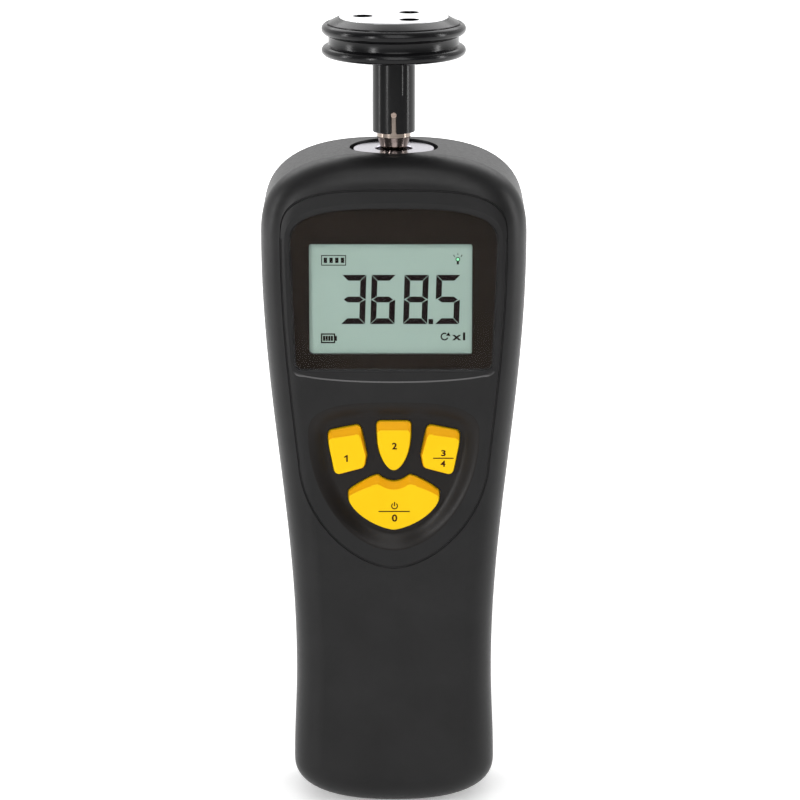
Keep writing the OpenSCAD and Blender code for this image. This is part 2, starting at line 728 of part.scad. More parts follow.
// A key: flange behind the bowl, straight sides, and a face whose upper edge slopes back
module key(corners, r) {
    points = rounded(corners, r);
    n = len(points);
    c = centre_of(points);
    top = top_of(points);
    function face(p) = p + unit(c - p) * key_edge - [0, key_slope * max(0, (p.y - c.y) / (top - c.y))];
    foot = [for (p = points) [p.x, key_face_y + key_rise, p.y]];
    head = [for (p = points) let(q = face(p)) [q.x, key_face_y, q.y]];
    ends = [[c.x, key_face_y + key_rise, c.y], [c.x, key_face_y, c.y]];
    sides = [for (i = [0 : n - 1]) let(j = (i + 1) % n) each
        [[n + i, n + j, j], [n + i, j, i], [i, j, 2 * n], [n + j, n + i, 2 * n + 1]]];
    polyhedron(points = concat(foot, head, ends), faces = run_of(points) > 0 ? sides : [for (f = sides)
        reversed(f)]);
    slab(key_face_y + key_rise, key_flange_y + key_flange_t) polygon(points);
    slab(key_flange_y, key_flange_y + key_flange_t) polygon(grown(points, key_flange));
    rod_y(c, key_stem_d, key_flange_y, key_stem_y);
}
module key_left() color([0.98, 0.8, 0.1]) key(flipped(side_key), key_corner_r);
module key_middle() color([0.98, 0.8, 0.1]) key(middle_key, key_corner_r / 2);
module key_right() color([0.98, 0.8, 0.1]) key(side_key, key_corner_r);
module key_power() color([0.98, 0.8, 0.1]) key(power_key, key_corner_r);

module collar_plate() color([0.75, 0.74, 0.77]) translate([0, 0, ledge_z]) difference() {
    cylinder(d = collar_d, h = collar_t);
    translate([0, 0, -cut]) cylinder(d = collar_hole_d, h = collar_t + 2 * cut);
}

module bearing_block() color([0.3, 0.3, 0.32]) difference() {
    union() {
        translate([0, 0, block_z]) cylinder(d = block_d, h = block_top_z - block_z);
        block([-ear_w / 2, ear_y, ear_z], [ear_w / 2, ear_y + ear_t, ear_z + ear_h]);
        block([-bracket_w / 2, bracket_y0 - bracket_neck, ear_z], [bracket_w / 2, bracket_y1, bracket_z1]);
        block([-bracket_w / 2, bracket_y0, bracket_z0], [bracket_w / 2, bracket_y1, bracket_z1]);
    }
    translate([0, 0, upper_bearing_z]) cylinder(d = bearing_d + 2 * press_gap, h = body_h);
    translate([0, 0, block_z - cut]) cylinder(d = bearing_d + 2 * press_gap,
        h = block_skirt + bearing_w + cut);
    translate([0, 0, block_z]) cylinder(d = block_web_d, h = block_top_z);
    block([-bracket_window_w / 2, bracket_y0 - cut, bracket_window_z0], [bracket_window_w / 2,
        bracket_y1 + cut, bracket_window_z1]);
    for (x = [-block_screw_x, block_screw_x])
        rod_y([x, block_screw_z], block_screw_d + 2 * seat_gap, ear_y - cut, ear_y + ear_t + cut);
    for (x = [-sensor_screw_x, sensor_screw_x])
        rod_y([x, sensor_screw_z], sensor_screw_d + 2 * press_gap, bracket_y0 - cut, bracket_y1 + cut);
}

// One ball bearing, in three parts
module race(inner, outer) {
    rotate_extrude() difference() {
        translate([inner / 2, 0]) square([(outer - inner) / 2, bearing_w]);
        translate([ball_pitch_d / 2, bearing_w / 2]) circle(d = ball_d + 2 * fit_gap);
    }
}
module bearings() {
    for (z = [lower_bearing_z, upper_bearing_z]) translate([0, 0, z]) children();
}
module bearing_outer_races() color([0.7, 0.7, 0.72]) bearings() race(race_d_out, bearing_d);
module bearing_inner_races() color([0.7, 0.7, 0.72]) bearings() race(shaft_d, race_d_in);
module bearing_balls() color([0.8, 0.8, 0.82]) bearings() balls(ball_d);
module balls(d) {
    for (i = [0 : ball_count - 1]) rotate([0, 0, 360 * i / ball_count])
        translate([ball_pitch_d / 2, 0, bearing_w / 2]) sphere(d = d);
}
module bearing_cages() color([0.75, 0.6, 0.3]) bearings() {
    for (z = [(bearing_w - cage_h) / 2, (bearing_w + cage_h) / 2 - cage_ring_h]) translate([0, 0,
        z]) difference() {
        cylinder(d = ball_pitch_d + cage_t, h = cage_ring_h);
        translate([0, 0, -cut]) cylinder(d = ball_pitch_d - cage_t, h = cage_h);
    }
    for (i = [0 : ball_count - 1]) rotate([0, 0, 360 * (i + 1 / 2) / ball_count])
        translate([ball_pitch_d / 2, 0, (bearing_w - cage_h) / 2]) cylinder(d = cage_post_d, h = cage_h);
}

module spindle_shaft() color([0.8, 0.8, 0.8]) difference() {
    rotate_extrude() polygon([[0, shaft_foot_z], [shaft_r, shaft_foot_z], [shaft_r, clip_z - press_gap],
        [clip_groove_d / 2, clip_z - press_gap], [clip_groove_d / 2, clip_z + clip_t + press_gap],
        [shaft_r, clip_z + clip_t + press_gap], [shaft_r, bearing_top_z], [neck_d / 2, bearing_top_z],
        [neck_d / 2, neck_z], [nose_d / 2, nose_foot_z], [nose_d / 2, nose_top_z - nose_chamfer],
        [nose_d / 2 - nose_chamfer, nose_top_z], [0, nose_top_z]]);
    rod_y([0, pin_z], pin_d + 2 * press_gap, -nose_d, nose_d);
}

module drive_pin() color([0.6, 0.5, 0.4]) rod_y([0, pin_z], pin_d, -pin_len / 2, pin_len / 2);

module spacer_sleeve() color([0.7, 0.6, 0.35]) translate([0, 0,
    lower_bearing_z + bearing_w + press_gap]) difference() {
    cylinder(d = sleeve_d, h = bearing_space - 2 * press_gap);
    translate([0, 0, -cut]) cylinder(d = shaft_d, h = bearing_space + 2 * cut);
}

module retaining_clip() color([0.35, 0.35, 0.4]) translate([0, 0, clip_z]) difference() {
    cylinder(d = clip_d, h = clip_t);
    translate([0, 0, -cut]) cylinder(d = clip_groove_d + 2 * press_gap, h = clip_t + 2 * cut);
    translate([0, -clip_groove_d / 2, -cut]) cube([clip_d, clip_groove_d, clip_t + 2 * cut]);
}

module encoder_disc() color([0.2, 0.2, 0.22]) translate([0, 0, disc_z]) difference() {
    cylinder(d = disc_d, h = disc_t);
    translate([0, 0, -cut]) cylinder(d = disc_hub_d, h = disc_t + 2 * cut);
    slot_w = PI * (disc_d - slot_len) / slot_count * slot_share;
    for (i = [0 : slot_count - 1]) rotate([0, 0, 360 * i / slot_count])
        translate([disc_d / 2 - slot_rim - slot_len, -slot_w / 2, -cut]) cube([slot_len, slot_w,
            disc_t + 2 * cut]);
}

module disc_hub() color([0.75, 0.62, 0.35]) difference() {
    union() {
        translate([0, 0, disc_z - disc_flange_t]) cylinder(d = disc_flange_d, h = disc_flange_t);
        translate([0, 0, disc_z - disc_flange_t]) cylinder(d = disc_hub_d - 2 * press_gap,
            h = disc_hub_top_z - disc_z + disc_flange_t);
    }
    translate([0, 0, shaft_foot_z]) cylinder(d = shaft_d, h = body_h);
    translate([0, 0, set_screw_z]) rotate([0, 90, 0]) cylinder(d = set_screw_d, h = disc_hub_d);
}

module sensor_board() color([0.1, 0.4, 0.2]) difference() {
    slab(bracket_y1, bracket_y1 + sensor_board_t) polygon(rect_points(sensor_board_w, sensor_board_z0,
        sensor_board_z1));
    for (x = [-sensor_screw_x, sensor_screw_x])
        rod_y([x, sensor_screw_z], sensor_screw_d + 2 * seat_gap, bracket_y1 - cut,
            bracket_y1 + sensor_board_t + cut);
}

module photo_interrupter() color([0.12, 0.12, 0.13]) {
    z = disc_z + disc_t / 2;
    difference() {
        block([-interrupter_w / 2, interrupter_y, z - interrupter_h / 2], [interrupter_w / 2, bracket_y1,
            z + interrupter_h / 2]);
        block([-interrupter_w, interrupter_y - cut, z - interrupter_slot / 2],
            [interrupter_w, bracket_y1 - interrupter_web + interrupter_slot / 4, z + interrupter_slot / 2]);
    }
}

// Flat cable from the back of the sensor board down and forward to the main board
function bend_arc(c, r, from, to) = [for (k = [0 : ribbon_steps]) let(a = from + (to - from) *
    k / ribbon_steps)
    c + r * [cos(a), sin(a)]];
module sensor_ribbon() color([0.6, 0.6, 0.62]) {
    y = bracket_y1 + sensor_board_t;
    bend = [y - ribbon_bend, ribbon_z + ribbon_t + ribbon_bend];
    rotate([90, 0, 90]) translate([0, 0, -ribbon_w / 2]) linear_extrude(ribbon_w) polygon(concat(
        [[y, sensor_board_z0 + ribbon_lap], [y + ribbon_t, sensor_board_z0 + ribbon_lap]],
        bend_arc(bend, ribbon_bend + ribbon_t, 0, -90), [[board_back_y, ribbon_z], [board_back_y,
            ribbon_z + ribbon_t]],
        bend_arc(bend, ribbon_bend, -90, 0)));
}

// Contacts and cells
function cell_x(i) = (i - (cell_count - 1) / 2) * cell_pitch;
function cell_up(i) = i % 2 == 0;
end_cells = [0, cell_count - 1];
// Tab of an end plate, up through the wall of the tray
module solder_tab(i, gap) {
    block([cell_x(i) - solder_tab_w / 2 - gap, cell_y - solder_tab_t / 2 - gap, tray_top_z - contact_t],
        [cell_x(i) + solder_tab_w / 2 + gap, cell_y + solder_tab_t / 2 + gap,
            tray_top_z + tray_wall + solder_tab_rise]);
}
module contact_plate(i, z) {
    block([cell_x(i) - contact_w / 2, cell_y - contact_h / 2, z], [cell_x(i) + contact_w / 2,
        cell_y + contact_h / 2, z + contact_t]);
}
module battery_plates() color([0.75, 0.75, 0.7]) {
    for (i = [0 : cell_count - 1]) {
        contact_plate(i, tray_in_z + seat_gap / 2);
        contact_plate(i, tray_top_z - contact_t - seat_gap / 2);
    }
    for (i = end_cells) solder_tab(i, 0);
}
// Leads from the end plates forward to the main board
module battery_leads() color([0.75, 0.12, 0.1]) {
    for (i = end_cells) rod_y([cell_x(i), tray_top_z + tray_wall + solder_tab_rise - lead_drop], lead_d,
        board_back_y, cell_y - solder_tab_t / 2 - press_gap);
}
module battery_springs() color([0.8, 0.8, 0.78]) {
    for (i = [0 : cell_count - 1]) translate([cell_x(i), cell_y, cell_up(i)
        ? tray_in_z + contact_t + seat_gap : tray_top_z - contact_t - seat_gap]) mirror([0, 0,
            cell_up(i) ? 0 : 1]) coil();
}
// A conical spring: one unbroken wire, wide at its base
module coil() {
    n = spring_turns * spring_rings;
    rise = spring_len - spring_wire - 2 * seat_gap;
    function spine(k) = let(a = 360 * k / spring_rings, r = spring_r0 + (spring_r1 - spring_r0) * k / n)
        [r * cos(a), r * sin(a), spring_wire / 2 + rise * k / n];
    points = [for (k = [0 : n]) let(a = 360 * k / spring_rings) for (s = [0 : spring_sides - 1])
        let(b = 360 * s / spring_sides) spine(k) + spring_wire / 2 * [cos(a) * cos(b), sin(a) * cos(b),
            sin(b)]];
    walls = [for (k = [0 : n - 1]) for (s = [0 : spring_sides - 1]) let(t = (s + 1) % spring_sides,
        a = k * spring_sides, b = a + spring_sides) each [[a + s, a + t, b + t], [a + s, b + t, b + s]]];
    polyhedron(points = points, faces = concat([[for (s = [spring_sides - 1 : -1 : 0]) s]], walls,
        [[for (s = [0 : spring_sides - 1]) n * spring_sides + s]]));
}
module batteries() color([0.2, 0.35, 0.6]) {
    for (i = [0 : cell_count - 1]) translate([cell_x(i), cell_y, cell_up(i)
        ? tray_top_z - contact_t - seat_gap - cell_len : tray_in_z + contact_t + seat_gap + cell_len])
        mirror([0, 0, cell_up(i) ? 0 : 1]) rotate_extrude() polygon([[0, 0], [cell_d / 2 - cell_edge, 0],
            [cell_d / 2, cell_edge], [cell_d / 2, cell_len - button_h - cell_edge],
            [cell_d / 2 - cell_edge, cell_len - button_h], [button_d / 2, cell_len - button_h],
            [button_d / 2, cell_len], [0, cell_len]]);
}

// Screws lie along Y with the head to the rear; each head has a cross recess
module screw(p, y, head_d, head_h, d, length) {
    difference() {
        union() {
            rod_y(p, head_d, y, y + head_h);
            rod_y(p, d, y - length, y + head_h / 2);
        }
        for (turn = [0, 90]) translate([p.x, y + head_h, p.y]) rotate([0, turn, 0])
            cube([head_d * drive_share, head_h, head_d * drive_w_share], center = true);
    }
}
module case_screws() color([0.3, 0.3, 0.32]) {
    for (p = case_places) screw(p, case_head_y, case_head_d, case_head_h, case_screw_d, case_screw_len);
}
module board_screws() color([0.7, 0.7, 0.7]) {
    for (p = board_places) screw(p, board_back_y, board_head_d, board_head_h, board_screw_d, board_screw_len);
}
module block_screws() color([0.7, 0.7, 0.7]) {
    for (x = [-block_screw_x, block_screw_x])
        screw([x, block_screw_z], ear_y + ear_t, block_head_d, block_head_h, block_screw_d, block_screw_len);
}
module sensor_screws() color([0.7, 0.7, 0.7]) {
    for (x = [-sensor_screw_x, sensor_screw_x]) screw([x, sensor_screw_z], bracket_y1 + sensor_board_t,
        sensor_head_d, sensor_head_h, sensor_screw_d, sensor_board_t + bracket_y1 - bracket_y0);
}

// Wheel: a split hub that pushes on the spindle, a rubber tyre with two lips, a metal face
module wheel_holes(z0, z1) {
    for (a = [60, 180, 300]) rotate([0, 0, a]) translate([face_pcd / 2, 0, z0]) cylinder(d = face_hole_d,
        h = z1 - z0);
}
module wheel_hub() color([0.12, 0.12, 0.12]) difference() {
    rotate_extrude() polygon([[0, hub_z], [hub_d / 2, hub_z], [hub_d / 2, web_foot_z],
        [tyre_in_d / 2 - web_cone, rim_z],
        [tyre_in_d / 2 - seat_gap, rim_z + web_edge_h], [tyre_in_d / 2 - seat_gap, rim_top_z - face_t], [0,
            rim_top_z - face_t]]);
    translate([0, 0, hub_z - cut]) cylinder(d = hub_bore_d, h = hub_bore_top_z - hub_z + cut);
    block([-slit_w / 2, -hub_d, hub_z - cut], [slit_w / 2, hub_d, pin_z]);
    rod_y([0, pin_z], slit_w, -hub_d, hub_d);
    wheel_holes(hub_z, rim_top_z);
}
module wheel_tyre() color([0.08, 0.08, 0.08]) rotate_extrude() union() {
    translate([tyre_in_d / 2, rim_z + tyre_edge]) square([(tread_d - tyre_in_d) / 2, rim_h - 2 * tyre_edge]);
    for (z = [lip_mid_z - lip_spread / 2, lip_mid_z + lip_spread / 2])
        translate([wheel_d / 2 - lip_r, z]) circle(r = lip_r, $fn = 32);
}
module wheel_face() color([0.9, 0.9, 0.9]) difference() {
    translate([0, 0, rim_top_z - face_t]) cylinder(d = face_d, h = face_t);
    wheel_holes(hub_z, rim_top_z + cut);
}

front_shell();
rear_shell();
battery_cover();
display_lens();
lcd_glass();
lcd_frame();
zebra_strip();
main_board();
board_chips();
key_mat();
key_left();
key_middle();
key_right();
key_power();
collar_plate();
bearing_block();
bearing_outer_races();
bearing_inner_races();
bearing_balls();
bearing_cages();
spindle_shaft();
drive_pin();
spacer_sleeve();
retaining_clip();
encoder_disc();
disc_hub();
sensor_board();
photo_interrupter();
sensor_ribbon();
battery_springs();
battery_plates();
battery_leads();
batteries();
case_screws();
board_screws();
block_screws();
sensor_screws();
wheel_hub();
wheel_tyre();
wheel_face();
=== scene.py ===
from math import copysign, cos, pi, radians, sin, sqrt, tan, tau

import bmesh
import bpy
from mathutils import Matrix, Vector


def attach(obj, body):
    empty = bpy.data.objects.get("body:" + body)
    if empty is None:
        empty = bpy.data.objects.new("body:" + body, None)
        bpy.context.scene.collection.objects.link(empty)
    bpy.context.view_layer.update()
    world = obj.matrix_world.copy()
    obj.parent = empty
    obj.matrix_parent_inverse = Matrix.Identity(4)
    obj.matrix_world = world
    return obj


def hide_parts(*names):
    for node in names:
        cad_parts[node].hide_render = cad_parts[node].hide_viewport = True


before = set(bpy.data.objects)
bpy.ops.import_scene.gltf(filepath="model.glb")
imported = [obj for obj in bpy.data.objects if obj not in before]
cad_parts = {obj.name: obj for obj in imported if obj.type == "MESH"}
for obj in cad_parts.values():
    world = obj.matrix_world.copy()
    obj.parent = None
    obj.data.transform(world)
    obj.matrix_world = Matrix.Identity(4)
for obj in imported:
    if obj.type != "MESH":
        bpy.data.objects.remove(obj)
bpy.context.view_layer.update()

MM = 0.001

# Vertices nearer than this, in metres, become one: on any piece, and on one just turned
MERGE, MERGE_TURNED = 0.000002, 0.000001

# Sizes in millimetres: the housing, its lens and keypad bowl, then the wheel, the keys and the display glass
BODY_H, HEAD_W, HEAD_Z = 185.4, 72.5, 162.0
WAIST_W, WAIST_Z, FOOT_W, FOOT_Z = 54.5, 40.0, 56.0, 13.0
FRONT_Y, BACK_Y, PARTING_Y, WALL = -19.0, 19.0, 14.0, 2.4
FRONT_R, BACK_R = 8.5, 5.0
FRONT_IN_Y, BACK_IN_Y = FRONT_Y + WALL, BACK_Y - WALL
LENS_W, LENS_FOOT_W, LENS_H, LENS_Z, LENS_T = 56.6, 54.2, 44.8, 126.4, 1.5
WINDOW_W, WINDOW_H, WINDOW_Z = 46.0, 32.4, 130.8
BOWL_W, BOWL_H, BOWL_TOP_Z, BOWL_WIDE_Z, BOWL_FOOT_Z = 47.0, 42.1, 117.5, 108.0, 75.4
COLLAR_Z, LEDGE_Z = 184.7, 183.3
RIM_Z, RIM_TOP_Z, HUB_Z, HUB_R, WEB_Z = 209.2, 221.0, 189.4, 5.85, 219.5
PIN_Z, FACE_R, FACE_HOLE_D, FACE_HOLE_RUN = 194.6, 14.9, 5.4, 8.4
KEY_GAP, KEY_Y, KEY_RISE, FLANGE_Y, FLANGE_T = 0.25, -19.7, 1.6, -15.1, 0.8
GLASS_Y, GLASS_T = -16.5, 2.8

# Places of the screws, [x, z]
CASE_SCREWS = [(-28.5, 152), (28.5, 152), (-21.2, 84), (21.2, 84)]
BOARD_SCREWS = [(-21.6, 124), (21.6, 124), (-13.5, 73.3), (13.5, 73.3)]
BLOCK_SCREWS = [(-17.5, 174), (17.5, 174)]

# Screw posts of the front shell: places, diameter and end; and their bores: places, diameter, start and end
POSTS = [(CASE_SCREWS, 6.2, PARTING_Y - 0.1), (BOARD_SCREWS, 4.6, -12.1), (BLOCK_SCREWS, 6.2, -4)]
BORES = [(CASE_SCREWS, 2.64, 3.5, 20), (BOARD_SCREWS, 2.04, -15, -12), (BLOCK_SCREWS, 2.24, -10.1, -3)]


# ---- Modelling helpers

def calm():
    """Leaves edit mode and lets go of everything."""
    if bpy.context.object and bpy.context.object.mode != "OBJECT":
        bpy.ops.object.mode_set(mode="OBJECT")
    bpy.ops.object.select_all(action="DESELECT")


def hold(obj):
    """Selects one object alone."""
    calm()
    obj.select_set(True)
    bpy.context.view_layer.objects.active = obj
    return obj


def edit(obj, kind, action="SELECT"):
    """Opens one object in edit mode with everything selected, or nothing."""
    hold(obj)
    bpy.ops.object.mode_set(mode="EDIT")
    bpy.ops.mesh.select_mode(type=kind)
    bpy.ops.mesh.select_all(action=action)
    return bmesh.from_edit_mesh(obj.data)


def done(obj):
    """Leaves edit mode."""
    bpy.ops.object.mode_set(mode="OBJECT")
    return obj


def named(name):
    """Names the object that was made last."""
    obj = bpy.context.object
    obj.name = name
    obj.data.name = name
    return obj


def settle(obj):
    """Puts the object's own place and size into its mesh."""
    hold(obj)
    bpy.ops.object.transform_apply(location=True, rotation=True, scale=True)
    return obj


def modify(obj, kind, **settings):
    """Adds a modifier and applies it."""
    hold(obj)
    modifier = obj.modifiers.new(kind.title(), kind)
    for key, value in settings.items():
        setattr(modifier, key, value)
    bpy.ops.object.modifier_apply(modifier=modifier.name)
    return obj


def tidy(obj):
    """Merges doubles and turns every face outwards."""
    edit(obj, "VERT")
    bpy.ops.mesh.remove_doubles(threshold=MERGE)
    bpy.ops.mesh.normals_make_consistent(inside=False)
    return done(obj)


def smooth(obj, angle):
    """Shades smoothly over every edge that turns less than angle, with normals led by the large faces."""
    hold(obj)
    bpy.ops.object.shade_smooth_by_angle(angle=radians(angle), keep_sharp_edges=True)
    return modify(obj, "WEIGHTED_NORMAL", mode="FACE_AREA_WITH_ANGLE", weight=50, keep_sharp=True)


def softened(obj, width, segments=2, angle=40):
    """Breaks every sharp edge with a small round."""
    return modify(obj, "BEVEL", width=width * MM, segments=segments, limit_method="ANGLE",
                  angle_limit=radians(angle))


def bored(obj, *tools, join=False):
    """Cuts the tools out of obj, or joins them to it, and removes them."""
    for tool in tools:
        modify(obj, "BOOLEAN", object=tool, operation="UNION" if join else "DIFFERENCE", solver="EXACT")
        bpy.data.objects.remove(tool)
    return obj


def joined(name, parts):
    """Makes one piece of several parts, which may lie apart."""
    calm()
    for part in parts:
        part.select_set(True)
    bpy.context.view_layer.objects.active = parts[0]
    if len(parts) > 1:
        bpy.ops.object.join()
    return named(name)


def loft(name, rings, closed=True):
    """A skin drawn ring by ring: a circle takes the first ring's places and is extruded to each next one."""
    calm()
    bpy.ops.mesh.primitive_circle_add(vertices=len(rings[0]), radius=MM)
    obj = named(name)
    bm = edit(obj, "EDGE")
    bm.verts.ensure_lookup_table()
    first = list(bm.verts)
    order = {v.index: k for k, v in enumerate(first)}
    for v, p in zip(first, rings[0]):
        v.co = Vector(p) * MM
    for level in rings[1:]:
        bpy.ops.mesh.extrude_region_move(TRANSFORM_OT_translate={"value": (0, 0, 0)})
        bm = bmesh.from_edit_mesh(obj.data)
        bm.verts.index_update()
        moved = {}
        for v in bm.verts:
            if v.select:
                old = next(e.other_vert(v) for e in v.link_edges if not e.other_vert(v).select)
                moved[v.index] = order[old.index]
        for v in bm.verts:
            if v.select:
                v.co = Vector(level[moved[v.index]]) * MM
        order = moved
        bmesh.update_edit_mesh(obj.data)
    if closed:
        bpy.ops.mesh.select_all(action="DESELECT")
        bpy.ops.mesh.select_non_manifold()
        bpy.ops.mesh.fill_holes(sides=0)
    bpy.ops.mesh.select_all(action="SELECT")
    bpy.ops.mesh.normals_make_consistent(inside=False)
    return done(obj)


def turned(name, profile, sides):
    """A turned piece: its half profile [radius, z] is drawn and spun round the spindle axis."""
    calm()
    bpy.ops.mesh.primitive_plane_add(size=MM)
    obj = named(name)
    edit(obj, "VERT")
    bpy.ops.mesh.delete(type="VERT")
    bm = bmesh.from_edit_mesh(obj.data)
    drawn = [bm.verts.new((r * MM, 0, z * MM)) for r, z in profile]
    for a, b in zip(drawn, drawn[1:] + drawn[:1]):
        if profile[0][0] > 0 or (a, b) != (drawn[-1], drawn[0]):
            bm.edges.new((a, b))
    bmesh.update_edit_mesh(obj.data)
    bpy.ops.mesh.select_all(action="SELECT")
    bpy.ops.mesh.spin(steps=sides, angle=tau, center=(0, 0, 0), axis=(0, 0, 1))
    bpy.ops.mesh.select_all(action="SELECT")
    bpy.ops.mesh.remove_doubles(threshold=MERGE_TURNED)
    bpy.ops.mesh.normals_make_consistent(inside=False)
    return done(obj)


def rod(name, mid, d, length, sides, turn):
    """A rod round a middle point, turned about X."""
    calm()
    bpy.ops.mesh.primitive_cylinder_add(vertices=sides, radius=d / 2 * MM, depth=length * MM,
                                        location=[m * MM for m in mid], rotation=(turn, 0, 0))
    return settle(named(name))


def rod_y(name, x, z, d, y0, y1, sides):
    """A rod along Y."""
    return rod(name, (x, (y0 + y1) / 2, z), d, y1 - y0, sides, pi / 2)


def rod_z(name, x, y, d, z0, z1, sides):
    """A rod along Z."""
    return rod(name, (x, y, (z0 + z1) / 2), d, z1 - z0, sides, 0)


def block(name, low, high):
    """A block between two corners."""
    calm()
    mid = [(a + b) / 2 * MM for a, b in zip(low, high)]
    bpy.ops.mesh.primitive_cube_add(size=1, location=mid, scale=[(b - a) * MM for a, b in zip(low, high)])
    return settle(named(name))


def plate(name, points, y0, y1):
    """A flat piece of the outline points [x, z], from depth y0 to depth y1."""
    return loft(name, [[(x, y0, z) for x, z in points], [(x, y1, z) for x, z in points]])


def paint(mesh, material):
    """Gives a mesh one finish in place of all others."""
    mesh.materials.clear()
    mesh.materials.append(material)


def fitted(obj, body, slot, material, *nodes):
    """Hands a finished piece over: its finish, its body and the CAD nodes that it stands for."""
    paint(obj.data, material)
    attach(obj, body)
    if nodes:
        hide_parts(*nodes)
    return obj


# ---- Outlines of the housing

def quarter(w, h, share, a):
    """A point of a superellipse's quarter, at angle a."""
    return w * max(cos(a), 0) ** (2 / share), h * max(sin(a), 0) ** (2 / share)


def ease(z, z0, z1, a, b):
    """Goes softly from a at z0 to b at z1."""
    return a + (b - a) * (1 - cos(pi * (z - z0) / (z1 - z0))) / 2


def body_half(z):
    """Half the width of the housing at height z."""
    if z < WAIST_Z:
        return ease(z, FOOT_Z, WAIST_Z, FOOT_W / 2, WAIST_W / 2)
    return ease(z, WAIST_Z, HEAD_Z, WAIST_W / 2, HEAD_W / 2)


def steps(n):
    """Angles of a quarter turn, closer together at both ends, where a superellipse runs fast."""
    return [pi / 2 * (k / n - 0.13 * sin(tau * k / n)) for k in range(n + 1)]


def right_half(d, foot=22, side=44, head=30):
    """The right half of the housing's outline, drawn in by d."""
    points = []
    for a in steps(foot):
        x, z = quarter(FOOT_W / 2 - d, FOOT_Z - d, 2.4, pi / 2 - a)
        points.append((x, FOOT_Z - z))
    for k in range(1, side):
        z = FOOT_Z + (HEAD_Z - FOOT_Z) * k / side
        points.append((body_half(z) - d, z))
    for a in steps(head):
        x, z = quarter(HEAD_W / 2 - d, BODY_H - HEAD_Z - d, 2.75, a)
        points.append((x, HEAD_Z + z))
    return points


def both_sides(half):
    """A right half with its mirror image."""
    return half + [(-x, z) for x, z in reversed(half[1:-1])]


def ring(d, y):
    """The housing's outline drawn in by d, at depth y."""
    return [(x, y, z) for x, z in both_sides(right_half(d))]


def edge_rings(y, r, d, turn, n):
    """A long edge rounded with radius r, from its side to its face."""
    made = []
    for k in range(n + 1):
        a = pi / 2 * (1 - k / n)
        made.append(ring(d + r * (1 - sin(a)), y + turn * r * (1 - cos(a))))
    return made


def lens_half(d, n=16):
    head, r = 10.2, 2.2
    side = LENS_Z + LENS_H - head
    points = [(0, LENS_Z + d)]
    for k in range(7):
        a = pi / 2 * k / 6
        points.append((LENS_FOOT_W / 2 - r + (r - d) * sin(a), LENS_Z + r - (r - d) * cos(a)))
    for a in steps(n):
        x, z = quarter(LENS_W / 2 - d, head - d, 3, a)
        points.append((x, side + z))
    return points


def bowl_half(d, n=26):
    points = []
    for a in steps(n):
        x, z = quarter(BOWL_W / 2 - d, BOWL_WIDE_Z - BOWL_FOOT_Z - d, 1.9, pi / 2 - a)
        points.append((x, BOWL_WIDE_Z - z))
    for a in steps(n)[1:]:
        x, z = quarter(BOWL_W / 2 - d, BOWL_TOP_Z - BOWL_WIDE_Z - d, 3, a)
        points.append((x, BOWL_WIDE_Z + z))
    return points


def panel_half(d, n=22):
    """The line moulded round lens and keypad; side and head are its distances from the housing's outline."""
    foot_z, turn_z, side, head = 70.2, 100.0, 5.4, 8.8
    points = []
    for a in steps(n):
        x, z = quarter(body_half(turn_z) - side - d, turn_z - foot_z - d, 1.75, pi / 2 - a)
        points.append((x, turn_z - z))
    for k in range(1, 18):
        z = turn_z + (HEAD_Z - turn_z) * k / 18
        points.append((body_half(z) - side - d, z))
    for a in steps(n):
        x, z = quarter(HEAD_W / 2 - side - d, BODY_H - head - HEAD_Z - d, 3.4, a)
        points.append((x, HEAD_Z + z))
    return points


def rounded(points, r, n=5, straight=78):
    """The outline with its corners rounded; a corner that hardly turns keeps its one point."""
    made = []
    for i, b in enumerate(points):
        b = Vector(b)
        u = (Vector(points[i - 1]) - b).normalized()
        v = (Vector(points[(i + 1) % len(points)]) - b).normalized()
        half = u.angle(v) / 2
        if half > radians(straight):
            made.append(tuple(b))
            continue
        c = b + (u + v).normalized() * r / sin(half)
        s = (b + u * r / tan(half) - c).normalized()
        e = (b + v * r / tan(half) - c).normalized()
        made += [tuple(c + (s * (1 - k / n) + e * k / n).normalized() * r) for k in range(n + 1)]
    return made


def rectangle(w, z0, z1):
    return [(-w / 2, z0), (w / 2, z0), (w / 2, z1), (-w / 2, z1)]


# ---- Effects that several materials share

def new_group(name, colours, values):
    """An effect with colours and values to set, which gives a colour, a gloss and a relief."""
    tree = bpy.data.node_groups.new(name, "ShaderNodeTree")
    sockets = [(c, "INPUT", "Color") for c in colours] + [(v, "INPUT", "Float") for v in values]
    sockets += [("Colour", "OUTPUT", "Color"), ("Roughness", "OUTPUT", "Float"),
                ("Normal", "OUTPUT", "Vector")]
    for label, way, kind in sockets:
        tree.interface.new_socket(name=label, in_out=way, socket_type="NodeSocket" + kind)
    return tree, tree.nodes.new("NodeGroupInput"), tree.nodes.new("NodeGroupOutput")


def node(tree, kind, links=(), **settings):
    """A node with its settings; links pairs each input with the output that feeds it, or with its value."""
    made = tree.nodes.new("ShaderNode" + kind)
    for key, value in settings.items():
        setattr(made, key, value)
    for socket, source in links:
        if isinstance(source, bpy.types.NodeSocket):
            tree.links.new(source, made.inputs[socket])
        else:
            made.inputs[socket].default_value = source
    return made


def combined(tree, operation, a, b):
    return node(tree, "Math", [(0, a), (1, b)], operation=operation).outputs[0]


